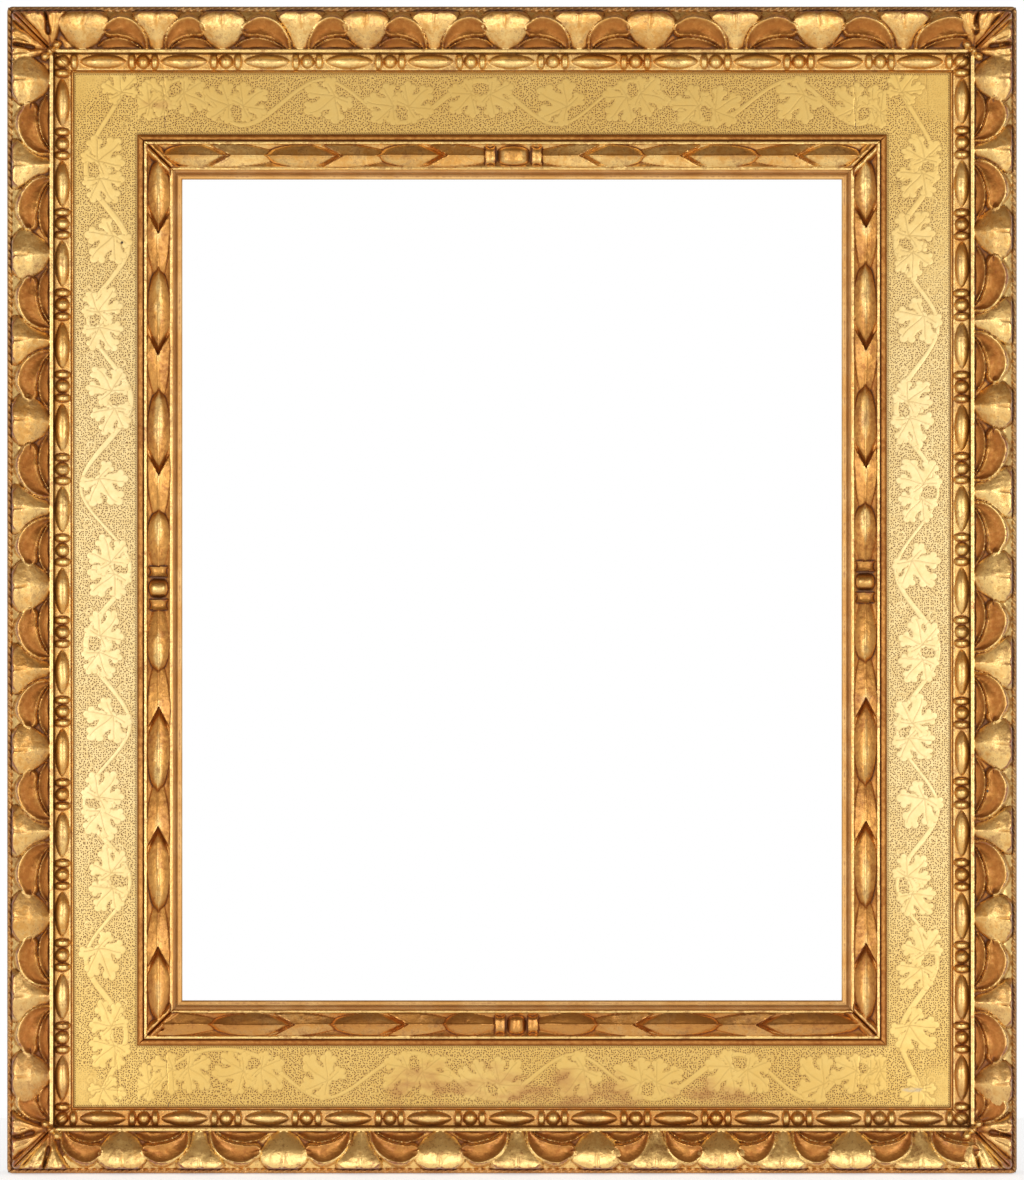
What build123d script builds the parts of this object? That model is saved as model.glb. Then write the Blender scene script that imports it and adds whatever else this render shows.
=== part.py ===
from build123d import *
import math
import os

# Gilded cassetta picture frame, in millimetres. X runs across the frame, Z up, and the front faces -Y.
# The origin is the centre of the frame's outline, half way through its depth.
# Places across a moulding are counted from its outer edge, and heights from the front face of the boards.

# Overall sizes
outer_width = 604.8
outer_height = 699.0
outer_rise = 18.0

# Boards: the stiles run through on the face, and the rails run through behind them
board_thickness = 22.0
lap_depth_share = 0.5

# One peg through each half-lap
peg_radius = 4.0
peg_blind = 5.0
peg_sides = 6

# Outer moulding: rope edge, leaf band and plain fillet
outer_band = 27.5
outer_fillet = 2.2
outer_fillet_rise = 9.6
rope_radius = 1.6
rope_rise = 7.2
ground_place_share = 0.40
ground_rise_shares = (0.44, 0.62, 0.42)
bulb_place_shares = (0.13, 0.34, 0.92)
bulb_half_widths = (8.6, 14.8, 6.6)
bulb_rise_shares = (0.86, 1.0, 0.52)
fan_place_shares = (0.14, 0.38, 0.92)
fan_half_widths = (12.4, 10.4, 4.4)
fan_rise_shares = (0.82, 0.98, 0.54)
lobe_place_shares = (0.16, 0.40, 0.88)
lobe_offsets = (21.0, 18.6, 8.2)
lobe_half_widths = (2.6, 4.8, 1.8)
lobe_rise_shares = (0.64, 0.86, 0.50)
corner_leaf_place_shares = (0.14, 0.34, 0.60, 0.93)
corner_leaf_half_widths = (7.0, 10.5, 8.5, 3.4)
corner_leaf_rise_shares = (0.86, 1.0, 0.84, 0.58)
petal_root_share = 0.30
round_profile_shares = ((-1, 0), (-0.66, 0.74), (0, 1), (0.66, 0.74), (1, 0))
ridge_profile_shares = ((-1, 0), (0, 1), (1, 0))
reed_profile_shares = ((0.0, 0.0), (0.15, 0.71), (0.5, 1.0), (0.85, 0.71), (1.0, 0.0))
flat_share = 1e-6

# Places of the bulbs and fans along each side, as shares of its length from its middle
bulb_shares = {
    "top": (-0.424, -0.287, -0.144, -0.006, 0.138, 0.305),
    "right": (-0.439, -0.307, -0.158, -0.011, 0.132, 0.281, 0.423),
    "bottom": (-0.336, -0.207, -0.083, 0.072, 0.226, 0.387),
    "left": (-0.416, -0.280, -0.136, 0.004, 0.145, 0.288, 0.437),
}
fan_shares = {
    "top": (-0.352, -0.210, -0.077, 0.066, 0.222, 0.388),
    "right": (-0.377, -0.230, -0.085, 0.062, 0.206, 0.353),
    "bottom": (-0.405, -0.269, -0.143, -0.005, 0.150, 0.310),
    "left": (-0.348, -0.207, -0.068, 0.070, 0.214, 0.364),
}

# Bead-and-reel course on its strip
bead_band = 11.8
bead_strip_rise = 2.6
bead_axis_place = 5.2
bead_axis_rise = 1.7
bead_radius = 4.4
reel_half_length = 2.0
spindle_radius = 4.2
string_gap = 1.4
neck_radius = 0.8
bead_counts = {"top": 11, "right": 13, "bottom": 11, "left": 13}
string_sides = 6
bead_shoulder_share = 0.42
bead_round_share = 0.96

# Frieze: the bare width of board between the two mouldings
stile_frieze = 38.4
rail_frieze = 37.0

# How far the boards reach in under the sight mouldings, up to the sight slips
board_reach = 15.9

# Sight moulding: reed, fillet, husk band and fillet
reed_radius = 2.1
upper_fillet = 1.8
upper_fillet_rise = 5.0
husk_band = 13.6
hollow_rise = 2.6
lower_fillet = 1.8
lower_fillet_rise = 4.0
husk_half_width = 6.4
husk_rise = 8.0
husk_root = 1.8
husk_station_shares = (0.0, 0.54)
husk_width_shares = (0.74, 1.0)
husk_rise_shares = (0.66, 1.0)
calyx_length = 23.0
calyx_tip = 7.0
wing_half_width = 3.0
wing_rise = 6.6
wing_root_share = 0.6
wing_middle_share = 0.6
wing_start_share = 0.3
wing_tip_flare = 1.0
clasp_bead_radius = 5.4
clasp_spool_radius = 5.2
clasp_spool_half_length = 2.6
sight_leaf_place_shares = (0.02, 0.36, 0.70, 0.99)
sight_leaf_half_widths = (1.6, 5.4, 6.0, 2.6)
sight_leaf_rise_shares = (0.60, 0.92, 0.96, 0.62)

# Places of the clasp and of the husks' tips along each side, as shares of the sight moulding's length
clasp_shares = {"top": 0.002, "right": -0.009, "bottom": -0.006, "left": 0.002}
clasp_half_shares = {"top": 0.038, "right": 0.023, "bottom": 0.029, "left": 0.024}
husk_tip_shares = {
    "top": ((-0.178, -0.328), (0.177, 0.330)),
    "right": ((-0.095, -0.224, -0.358), (0.079, 0.214, 0.348)),
    "bottom": ((-0.114, -0.278), (0.091, 0.242, 0.403)),
    "left": ((-0.089, -0.220, -0.352), (0.087, 0.219, 0.352)),
}
first_calyx = {"top": True, "right": False, "bottom": False, "left": False}

# Sight slip: a thin strip in the boards' opening, under the sight moulding's lip
slip_thickness = 3.0
slip_lip = 5.4
slip_groove = 1.8
slip_groove_depth = 0.8
slip_bead_rise = 1.0

# Cut nails through the boards into the outer mouldings
nail_shank = 2.0
nail_head = 4.4
nail_head_thickness = 1.2
nail_grip = 6.0
nail_place = 14.0
nail_shares = (-0.25, 0.25)

# Folded straps and their D rings, on the stiles' backs
strap_thickness = 1.0
strap_width = 13.0
strap_length = 42.0
strap_axis_height = 175.0
strap_inset = 46.8
ring_wire_radius = 1.5
ring_fit = 0.05
ring_half_width = 9.5
ring_length = 17.0
ring_corner_radius = 2.4
ring_rest_gap = 0.5
ring_wire_sides = 6
ring_corner_steps = 2
ring_bow_steps = 6
strap_screw_shares = (0.56, 0.84)
strap_screw_radius = 1.7
strap_screw_length = 15.0
strap_screw_head_radius = 3.3
strap_screw_head_rise = 1.6
strap_hole_clearance = 0.15
strap_clip = 4.0

# Turn buttons on the stiles' backs
button_length = 32.0
button_width = 11.0
button_thickness = 1.6
button_clip = 3.4
button_pivot_inset = 8.5
button_pivot_to_rebate = 14.0
button_heights = (150.0, -150.0)
button_fit = 0.05
button_play = 0.15
button_screw_radius = 1.9
button_screw_length = 14.0
button_screw_head_radius = 3.8
button_screw_head_rise = 1.7

# Round heads of all screws
screw_sides = 6
screw_crown_share = 0.45
screw_round_share = 0.84

# Overrun of every cut past the piece that it cuts
overrun = 4.0

# Sizes that follow from the ones above
strap_rise = 2 * strap_thickness
hardware_reach = strap_rise + ring_rest_gap + 2 * ring_wire_radius
total_depth = outer_rise + board_thickness + hardware_reach
face_y = outer_rise - total_depth / 2
back_y = face_y + board_thickness
lap_depth = board_thickness * lap_depth_share
sight_band = 2 * reed_radius + upper_fillet + husk_band + lower_fillet
outer_total = outer_band + bead_band
stile_width = outer_total + stile_frieze + board_reach
rail_width = outer_total + rail_frieze + board_reach
sight_width = outer_width - 2 * (outer_total + stile_frieze)
sight_height = outer_height - 2 * (outer_total + rail_frieze)
opening_width = outer_width - 2 * stile_width
opening_height = outer_height - 2 * rail_width
slip_reach = sight_band + slip_lip

sides = {
    "top": {"turn": 0, "out": outer_height / 2, "length": outer_width},
    "right": {"turn": 90, "out": outer_width / 2, "length": outer_height},
    "bottom": {"turn": 180, "out": outer_height / 2, "length": outer_width},
    "left": {"turn": -90, "out": outer_width / 2, "length": outer_height},
}
sight_sides = {
    "top": {"turn": 0, "out": sight_height / 2, "length": sight_width},
    "right": {"turn": 90, "out": sight_width / 2, "length": sight_height},
    "bottom": {"turn": 180, "out": sight_height / 2, "length": sight_width},
    "left": {"turn": -90, "out": sight_width / 2, "length": sight_height},
}


def point(along, across, rise):
    """A point of the bench frame: along the moulding, in from its outer edge, and up from the boards' face."""
    return Vector(along, -rise, -across)


def on_side(solid, side):
    """Turns a piece from the bench frame to its side of the frame."""
    return Rot(0, side["turn"], 0) * Pos(0, face_y, side["out"]) * solid


def reed(near, radius, rise):
    """The outline of a half-round reed, as (across, rise) points."""
    return [(near + 2 * radius * place, rise + radius * lift) for place, lift in reed_profile_shares]


def strip(outline, length):
    """A straight moulding blank: its (across, rise) outline carried along the bench frame."""
    corners = [point(-length / 2, across, rise) for across, rise in outline]
    return extrude(make_face(Polyline(*corners, close=True)), amount=length, dir=(1, 0, 0))


def mitre_wedge(length, near, far, low, high):
    """The space between two mitres, from near to far across the moulding and from low to high in rise."""
    corners = [
        point(-length / 2 + near, near, low),
        point(length / 2 - near, near, low),
        point(length / 2 - far, far, low),
        point(-length / 2 + far, far, low),
    ]
    return extrude(make_face(Polyline(*corners, close=True)), amount=high - low, dir=(0, -1, 0))


def flat_faced(rings):
    """A closed solid of flat faces between rings of points. Its first or last ring may be a tip of one point."""
    faces = [Face(Wire.make_polygon(ring, close=True)) for ring in (rings[0], rings[-1]) if len(ring) > 1]
    for near, far in zip(rings, rings[1:]):
        count = max(len(near), len(far))
        for i in range(count):
            j = (i + 1) % count
            if len(near) == 1:
                corners = [(near[0], far[j], far[i])]
            elif len(far) == 1:
                corners = [(near[i], near[j], far[0])]
            else:
                lift = (near[j] - near[i]).cross(far[i] - near[i]).dot(far[j] - near[i])
                size = (near[j] - near[i]).length * (far[i] - near[i]).length * (far[j] - near[i]).length
                if abs(lift) < size * flat_share:
                    corners = [(near[i], near[j], far[j], far[i])]
                elif i < count / 2:
                    corners = [(near[i], near[j], far[j]), (near[i], far[j], far[i])]
                else:
                    corners = [(near[i], near[j], far[i]), (near[j], far[j], far[i])]
            faces += [Face(Wire.make_polygon(face, close=True)) for face in corners]
    return Solid(Shell(faces))


def carved_leaf(spine, half_widths, rises, root, profile):
    """A ridged leaf: sections square to its spine of (along, across) points, with flat faces between them."""
    sections = []
    for i, (along, across) in enumerate(spine):
        before = spine[max(i - 1, 0)]
        after = spine[min(i + 1, len(spine) - 1)]
        run = math.dist(before, after)
        side_along = -(after[1] - before[1]) / run
        side_across = (after[0] - before[0]) / run
        if half_widths[i] == 0:
            sections.append([point(along, across, rises[i])])
            continue
        section = []
        for place, lift in profile:
            reach = half_widths[i] * place
            rise = root + (rises[i] - root) * lift
            section.append(point(along + side_along * reach, across + side_across * reach, rise))
        sections.append(section)
    return flat_faced(sections)


def turned_string(stations, axis_place, axis_rise):
    """Turned work along the bench frame: rings at (along, radius) stations, with flat faces between them."""
    rings = []
    for along, radius in stations:
        turns = [2 * math.pi * (i + 0.5) / string_sides for i in range(string_sides)]
        ring = [
            point(along, axis_place + radius * math.sin(turn), axis_rise + radius * math.cos(turn))
            for turn in turns
        ]
        rings.append(ring)
    return flat_faced(rings)


def turned_pin(stations, sides):
    """A many-sided pin along Y: rings at (y, radius) stations, with flat faces between them."""
    rings = []
    for y, radius in stations:
        turns = [2 * math.pi * (i + 0.5) / sides for i in range(sides)]
        rings.append([Vector(radius * math.cos(turn), y, radius * math.sin(turn)) for turn in turns])
    return flat_faced(rings)


def bead_stations(middle, radius, half_length):
    """Stations of one bead: small at its ends, and round in between."""
    return [
        (middle - half_length, neck_radius),
        (middle - half_length * bead_shoulder_share, radius * bead_round_share),
        (middle + half_length * bead_shoulder_share, radius * bead_round_share),
        (middle + half_length, neck_radius),
    ]


def reel_stations(middle, radius, half_length):
    """Stations of one thin reel with a sharp rim."""
    return [(middle - half_length, neck_radius), (middle, radius), (middle + half_length, neck_radius)]


def lap_box(width, height, low, high):
    """A box on the frame's middle, from low to high in Y."""
    return Pos(0, (low + high) / 2, 0) * Box(width, high - low, height)


def make_boards():
    """The two stiles and two rails with their half-laps, peg holes and nail holes."""
    lap_y = face_y + board_thickness - lap_depth
    middle_x = (outer_width - stile_width) / 2
    middle_z = (outer_height - rail_width) / 2
    boards = {}
    for name, sign in (("left_stile", -1), ("right_stile", 1)):
        front = Pos(sign * middle_x, 0, 0) * lap_box(stile_width, outer_height, face_y, lap_y)
        back = Pos(sign * middle_x, 0, 0) * lap_box(stile_width, opening_height, lap_y, back_y)
        boards[name] = front + back
    for name, sign in (("top_rail", 1), ("bottom_rail", -1)):
        front = Pos(0, 0, sign * middle_z) * lap_box(opening_width, rail_width, face_y, lap_y)
        back = Pos(0, 0, sign * middle_z) * lap_box(outer_width, rail_width, lap_y, back_y)
        boards[name] = front + back
    return boards


def make_pegs():
    """A riven six-sided peg in each half-lap, from the back through the rail and blind in the stile."""
    length = lap_depth + peg_blind
    pegs = []
    for sign_x in (-1, 1):
        for sign_z in (-1, 1):
            x = sign_x * (outer_width - stile_width) / 2
            z = sign_z * (outer_height - rail_width) / 2
            peg = turned_pin([(0, peg_radius), (length, peg_radius)], peg_sides)
            pegs.append(Pos(x, back_y - length, z) * peg)
    return pegs


def make_nails():
    """Square cut nails from the back, with their heads flush with the boards."""
    length = board_thickness + nail_grip
    nails = []
    for side in sides.values():
        for share in nail_shares:
            shank = Pos(0, board_thickness - length / 2, 0) * Box(nail_shank, length, nail_shank)
            head_y = board_thickness - nail_head_thickness / 2
            head = Pos(0, head_y, 0) * Box(nail_head, nail_head_thickness, nail_head)
            nail = Pos(side["length"] * share, 0, -nail_place) * (shank + head)
            nails.append(on_side(nail, side))
    return nails


def make_outer_moulding(name):
    """One outer moulding: rope edge, carved leaf band and fillet, mitred at both ends."""
    side = sides[name]
    length = side["length"]
    leaf_end = outer_band - outer_fillet
    low, high, hollow = [outer_rise * share for share in ground_rise_shares]
    outline = [
        (0, 0),
        *reed(0, rope_radius, rope_rise),
        (2 * rope_radius, low),
        (outer_band * ground_place_share, high),
        (leaf_end, hollow),
        (leaf_end, outer_fillet_rise),
        (outer_band, outer_fillet_rise),
        (outer_band, 0),
    ]
    blank = strip(outline, length)
    root = outer_rise * petal_root_share
    petals = []
    for share in bulb_shares[name]:
        spine = [(length * share, outer_band * place) for place in bulb_place_shares]
        rises = [outer_rise * rise for rise in bulb_rise_shares]
        petals.append(carved_leaf(spine, bulb_half_widths, rises, root, round_profile_shares))
    for share in fan_shares[name]:
        spine = [(length * share, outer_band * place) for place in fan_place_shares]
        rises = [outer_rise * rise for rise in fan_rise_shares]
        petals.append(carved_leaf(spine, fan_half_widths, rises, root, round_profile_shares))
        for sign in (-1, 1):
            spine = [
                (length * share + sign * offset, outer_band * place)
                for offset, place in zip(lobe_offsets, lobe_place_shares)
            ]
            rises = [outer_rise * rise for rise in lobe_rise_shares]
            petals.append(carved_leaf(spine, lobe_half_widths, rises, root, ridge_profile_shares))
    for sign in (-1, 1):
        spine = [
            (sign * (length / 2 - outer_band * place), outer_band * place)
            for place in corner_leaf_place_shares
        ]
        rises = [outer_rise * rise for rise in corner_leaf_rise_shares]
        leaf = carved_leaf(spine, corner_leaf_half_widths, rises, root, round_profile_shares)
        petals.append(leaf)
    wedge = mitre_wedge(length, 0, outer_band, 0, outer_rise + overrun)
    return on_side((blank + petals) & wedge, side)


def make_bead_course(name):
    """One bead-and-reel course on its strip: a bead at each repeat, and a spindle and two reels between beads."""
    side = sides[name]
    length = side["length"]
    near = outer_band
    far = outer_total
    blank = strip([(near, 0), (near, bead_strip_rise), (far, bead_strip_rise), (far, 0)], length)
    axis_place = near + bead_axis_place
    count = bead_counts[name]
    first = -length / 2 + axis_place
    pitch = -2 * first / count
    reel_middle = bead_radius + string_gap + reel_half_length
    spindle_half = pitch / 2 - reel_middle - reel_half_length - string_gap
    stations = []
    for i in range(count):
        bead = first + pitch * i
        stations += bead_stations(bead, bead_radius, bead_radius)
        stations += reel_stations(bead + reel_middle, bead_radius, reel_half_length)
        stations += bead_stations(bead + pitch / 2, spindle_radius, spindle_half)
        stations += reel_stations(bead + pitch - reel_middle, bead_radius, reel_half_length)
    stations += bead_stations(-first, bead_radius, bead_radius)
    string = turned_string(stations, axis_place, bead_axis_rise)
    wedge = mitre_wedge(length, near, far, 0, bead_axis_rise + bead_radius + overrun)
    return on_side((blank + string) & wedge, side)


def husk_chain(clasp, edge, tips, calyx_first, length):
    """Husks and calyxes from the clasp to the corner. Each calyx is two wings that open round the next husk."""
    sign = 1 if edge > clasp else -1
    middle = 2 * reed_radius + upper_fillet + husk_band / 2
    ends = [share * length for share in tips]
    starts = [clasp] + [end + sign * calyx_length for end in ends]
    calyxes = list(ends)
    if calyx_first:
        starts[0] = clasp + sign * calyx_length
        calyxes.insert(0, clasp)
    ends.append(edge - sign * husk_band / 2)
    forms = []
    for start, end in zip(starts, ends):
        spine = [(start + (end - start) * share, middle) for share in husk_station_shares] + [(end, middle)]
        half_widths = [husk_half_width * share for share in husk_width_shares] + [0]
        rises = [husk_rise * share for share in husk_rise_shares] + [husk_root]
        forms.append(carved_leaf(spine, half_widths, rises, husk_root, ridge_profile_shares))
    for start in calyxes:
        opening = start + sign * calyx_length
        for wing in (-1, 1):
            spread = wing * (husk_half_width - wing_half_width)
            spine = [
                (start - sign * wing_half_width, middle + spread * wing_start_share),
                (start + sign * calyx_length * wing_middle_share, middle + spread),
                (opening + sign * calyx_tip, middle + spread + wing * wing_tip_flare),
            ]
            half_widths = (wing_half_width * wing_root_share, wing_half_width, 0)
            rises = (hollow_rise + husk_root, wing_rise, husk_root)
            forms.append(carved_leaf(spine, half_widths, rises, husk_root, ridge_profile_shares))
    return forms


def make_sight_moulding(name):
    """One sight moulding: reed, fillets and the husk chains that run both ways from its clasp."""
    side = sight_sides[name]
    length = side["length"]
    reed_end = 2 * reed_radius
    band_start = reed_end + upper_fillet
    band_end = band_start + husk_band
    outline = [
        (0, 0),
        *reed(0, reed_radius, reed_radius),
        (reed_end, upper_fillet_rise),
        (band_start, upper_fillet_rise),
        (band_start, hollow_rise + husk_root),
        (band_start + husk_band / 2, hollow_rise),
        (band_end, hollow_rise + husk_root / 2),
        (band_end, lower_fillet_rise),
        (sight_band, lower_fillet_rise),
        (sight_band, 0),
    ]
    blank = strip(outline, length)
    clasp = clasp_shares[name] * length
    clasp_half = clasp_half_shares[name] * length
    middle = band_start + husk_band / 2
    ball_half = clasp_half - 2 * clasp_spool_half_length
    spool_place = ball_half + clasp_spool_half_length
    stations = reel_stations(clasp - spool_place, clasp_spool_radius, clasp_spool_half_length)
    stations += bead_stations(clasp, clasp_bead_radius, ball_half)[1:-1]
    stations += reel_stations(clasp + spool_place, clasp_spool_radius, clasp_spool_half_length)
    forms = [turned_string(stations, middle, hollow_rise)]
    for sign, tips in zip((-1, 1), husk_tip_shares[name]):
        edge = sign * (length / 2 - middle)
        forms += husk_chain(clasp + sign * clasp_half, edge, tips, first_calyx[name], length)
    for sign in (-1, 1):
        places = [band_start + husk_band * share for share in sight_leaf_place_shares]
        spine = [(sign * (length / 2 - place), place) for place in places]
        rises = [husk_rise * share for share in sight_leaf_rise_shares]
        leaf = carved_leaf(spine, sight_leaf_half_widths, rises, husk_root, ridge_profile_shares)
        forms.append(leaf)
    wedge = mitre_wedge(length, 0, sight_band, 0, husk_rise + overrun)
    return on_side((blank + forms) & wedge, side)


def make_sight_slip(name):
    """One sight slip: flat under the moulding's lip, with a groove and a round bead at the sight edge."""
    side = sight_sides[name]
    length = side["length"]
    near = board_reach
    groove_end = sight_band + slip_groove
    bead_middle = (groove_end + slip_reach) / 2
    outline = [
        (near, -slip_thickness),
        (near, 0),
        (sight_band, 0),
        (sight_band, -slip_groove_depth),
        (groove_end, -slip_groove_depth),
        (groove_end, slip_bead_rise / 2),
        (bead_middle, slip_bead_rise),
        (slip_reach, 0),
        (slip_reach, -slip_thickness),
    ]
    wedge = mitre_wedge(length, near, slip_reach, -slip_thickness - overrun, slip_bead_rise + overrun)
    return on_side(strip(outline, length) & wedge, side)


def wood_screw(radius, length, head_radius, head_rise, seat):
    """A round-head screw along Y, with its head's seat at that height off the boards' back."""
    crown = head_radius * screw_crown_share
    stations = [
        (seat - length, radius),
        (seat, radius),
        (seat, head_radius),
        (seat + head_rise / 2, head_radius * screw_round_share),
        (seat + head_rise, crown),
    ]
    return Pos(0, back_y, 0) * turned_pin(stations, screw_sides)


def strap_screws():
    """The places of the straps' screws, as (x, z)."""
    places = []
    for sign in (-1, 1):
        for share in strap_screw_shares:
            x = sign * (outer_width / 2 - strap_inset)
            places.append((x, strap_axis_height - strap_length * share))
    return places


def button_places():
    """The turn buttons' pivots, as (x, z, which way the rebate lies)."""
    places = []
    for sign in (-1, 1):
        for height in button_heights:
            places.append((sign * (opening_width / 2 + button_pivot_to_rebate), height, -sign))
    return places


def make_strap(sign):
    """A strap folded double round its ring's leg, with two screw holes and a clipped lower end."""
    loop_height = strap_thickness + ring_fit + ring_wire_radius
    side_plane = Plane(origin=(-strap_width / 2, back_y, 0), x_dir=(0, 1, 0), z_dir=(1, 0, 0))
    curl = Pos(loop_height, 0) * Circle(loop_height)
    bore = Pos(loop_height, 0) * Circle(ring_fit + ring_wire_radius)
    leaf = Pos(strap_rise / 2, -strap_length / 2) * Rectangle(strap_rise, strap_length)
    body = extrude(side_plane * (curl + leaf - bore), amount=strap_width, dir=(1, 0, 0))
    ends = body.edges().filter_by(Axis.Y).sort_by(Axis.Z)[:2]
    body = chamfer(ends, strap_clip)
    for share in strap_screw_shares:
        hole_radius = strap_screw_radius + strap_hole_clearance
        reach = strap_rise + overrun
        hole = turned_pin([(-reach, hole_radius), (reach, hole_radius)], screw_sides)
        body -= Pos(0, back_y, -strap_length * share) * hole
    return Pos(sign * (outer_width / 2 - strap_inset), 0, strap_axis_height) * body


def ring_bend(middle, radius, start, end, steps):
    """Points of a bend in the ring's plane, as (x, z), from one angle in degrees to another."""
    turns = [math.radians(start + (end - start) * i / steps) for i in range(steps + 1)]
    return [(middle[0] + radius * math.cos(turn), middle[1] + radius * math.sin(turn)) for turn in turns]


def make_ring(sign):
    """A D ring: a round straight leg through the strap's loop, two short sides and a half-round bow of wire."""
    corner = ring_corner_radius
    leg_half = ring_half_width - corner
    side_end = ring_length - ring_half_width
    route = ring_bend((leg_half, -corner), corner, 90, 0, ring_corner_steps)
    route += ring_bend((0, -side_end), ring_half_width, 0, -180, ring_bow_steps)
    route += ring_bend((-leg_half, -corner), corner, 180, 90, ring_corner_steps)
    corners = [Vector(x, 0, z) for x, z in route]
    leg_run = Vector(1, 0, 0)
    between = [(far - near).normalized() for near, far in zip(corners, corners[1:])]
    runs_in = [leg_run] + between[:-1] + [leg_run]
    runs_out = [leg_run] + between[1:] + [leg_run]
    turns = [2 * math.pi * (k + 0.5) / ring_wire_sides for k in range(ring_wire_sides)]
    lift = Vector(0, ring_wire_radius, 0)
    rings = []
    for middle, run_in, run_out in zip(corners, runs_in, runs_out):
        along = (run_in + run_out).normalized()
        outward = along.cross(Vector(0, 1, 0)) * (ring_wire_radius / along.dot(run_in))
        rings.append([middle + outward * math.cos(turn) + lift * math.sin(turn) for turn in turns])
    leg = Rot(0, 90, 0) * Cylinder(ring_wire_radius, 2 * leg_half)
    loop_height = strap_thickness + ring_fit + ring_wire_radius
    tip_height = strap_rise + ring_rest_gap + ring_wire_radius
    tilt = math.degrees(math.asin((tip_height - loop_height) / ring_length))
    place = Pos(sign * (outer_width / 2 - strap_inset), back_y + loop_height, strap_axis_height)
    return place * Rot(tilt, 0, 0) * (leg + flat_faced(rings))


def make_button():
    """A turn button with clipped ends, hanging from its pivot hole, before it goes to its place."""
    low = button_pivot_inset - button_length
    blank = Pos(0, button_thickness / 2, (low + button_pivot_inset) / 2) * Box(
        button_width, button_thickness, button_length
    )
    blank = chamfer(blank.edges().filter_by(Axis.Y), button_clip)
    bore = Rot(90, 0, 0) * Cylinder(button_screw_radius + button_fit, 2 * button_thickness + overrun)
    return blank - bore


def write(name, shape):
    """Writes one node as its own STEP file."""
    shape.label = name
    export_step(shape, os.path.join("parts", name + ".step"))


os.makedirs("parts", exist_ok=True)
pieces = {}
boards = make_boards()
pegs = make_pegs()
nails = make_nails()

screw_seat = strap_rise
strap_screw = wood_screw(
    strap_screw_radius, strap_screw_length, strap_screw_head_radius, strap_screw_head_rise, screw_seat
)
hanger_screws = [Pos(x, 0, z) * strap_screw for x, z in strap_screws()]
button_seat = button_thickness + 2 * button_play
button_screw = wood_screw(
    button_screw_radius, button_screw_length, button_screw_head_radius, button_screw_head_rise, button_seat
)
button_screws = [Pos(x, 0, z) * button_screw for x, z, _ in button_places()]

fasteners = pegs + nails + hanger_screws + button_screws
for name, board in boards.items():
    pieces[name] = board - fasteners
for name in sides:
    pieces["outer_moulding_" + name] = make_outer_moulding(name) - nails
    pieces["bead_and_reel_" + name] = make_bead_course(name)
    pieces["sight_moulding_" + name] = make_sight_moulding(name)
    pieces["sight_slip_" + name] = make_sight_slip(name)
pieces["lap_pegs"] = Compound(children=pegs)
pieces["moulding_nails"] = Compound(children=nails)
for word, sign in (("left", -1), ("right", 1)):
    pieces["hanger_strap_" + word] = make_strap(sign)
    pieces["hanger_ring_" + word] = make_ring(sign)
pieces["hanger_screws"] = Compound(children=hanger_screws)
button = Pos(0, back_y + button_play, 0) * make_button()
for i, (x, z, _) in enumerate(button_places()):
    pieces["turn_button_" + str(i + 1)] = Pos(x, 0, z) * button
pieces["turn_button_screws"] = Compound(children=button_screws)

for name, shape in pieces.items():
    write(name, shape)
print("nodes", len(pieces), "depth", total_depth, "sight", sight_width, sight_height)
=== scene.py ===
# %% [markdown]
# # A gilded cassetta picture frame
# The frame has a flat gilded frieze, punched and burnished with a vine scroll. Round its outer edge runs a
# carved moulding of petals and fans with a bead-and-reel course, and round its sight edge a chain of husks.
# The boards, pegs, straps and buttons come from the CAD model and only get their finishes here. What the
# carver and the gilder did to the front is built here as dense surfaces, each from one formula.

import math
from functools import partialmethod

import bpy
import numpy as np
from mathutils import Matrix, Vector


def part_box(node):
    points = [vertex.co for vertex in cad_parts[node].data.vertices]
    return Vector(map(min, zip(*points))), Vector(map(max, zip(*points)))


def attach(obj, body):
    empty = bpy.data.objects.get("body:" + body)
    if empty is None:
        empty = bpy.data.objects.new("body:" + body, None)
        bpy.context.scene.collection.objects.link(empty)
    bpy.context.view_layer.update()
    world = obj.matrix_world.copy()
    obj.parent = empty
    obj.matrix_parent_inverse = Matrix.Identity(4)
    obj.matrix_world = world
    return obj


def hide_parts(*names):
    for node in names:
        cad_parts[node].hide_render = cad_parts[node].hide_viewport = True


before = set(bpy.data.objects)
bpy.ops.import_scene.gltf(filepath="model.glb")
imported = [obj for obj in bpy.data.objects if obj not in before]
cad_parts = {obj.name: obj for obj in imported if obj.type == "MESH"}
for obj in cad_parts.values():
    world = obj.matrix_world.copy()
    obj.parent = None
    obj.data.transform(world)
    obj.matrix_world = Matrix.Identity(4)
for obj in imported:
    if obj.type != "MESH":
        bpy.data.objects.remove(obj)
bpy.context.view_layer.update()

# %% [markdown]
# ## Sizes and the bench frame
# A carver works each length of moulding flat on the bench, so each piece is worked out there: along the
# length, across it from the outer edge, and up from the boards' face, all in millimetres. One turn about
# the frame's centre then carries the length to its side. This is simpler than carving four sides in place,
# and the mitres meet by themselves, because each row of the grid ends on them.

# %% Sizes and the bench frame
MM = 0.001
outer_width, outer_height = 604.8, 699.0
face_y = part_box("left_stile")[0].y / MM
outer_band, outer_fillet, bead_band = 27.5, 2.2, 11.8
outer_total = outer_band + bead_band
stile_frieze, rail_frieze = 38.4, 37.0
sight_width = outer_width - 2 * (outer_total + stile_frieze)
sight_height = outer_height - 2 * (outer_total + rail_frieze)
photo_pixel = 0.6
leaf_steps, bead_steps, husk_steps = (0.62, 0.48), (0.50, 0.40), (0.50, 0.38)
turns = {"top": 0, "right": 90, "bottom": 180, "left": -90}


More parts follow.
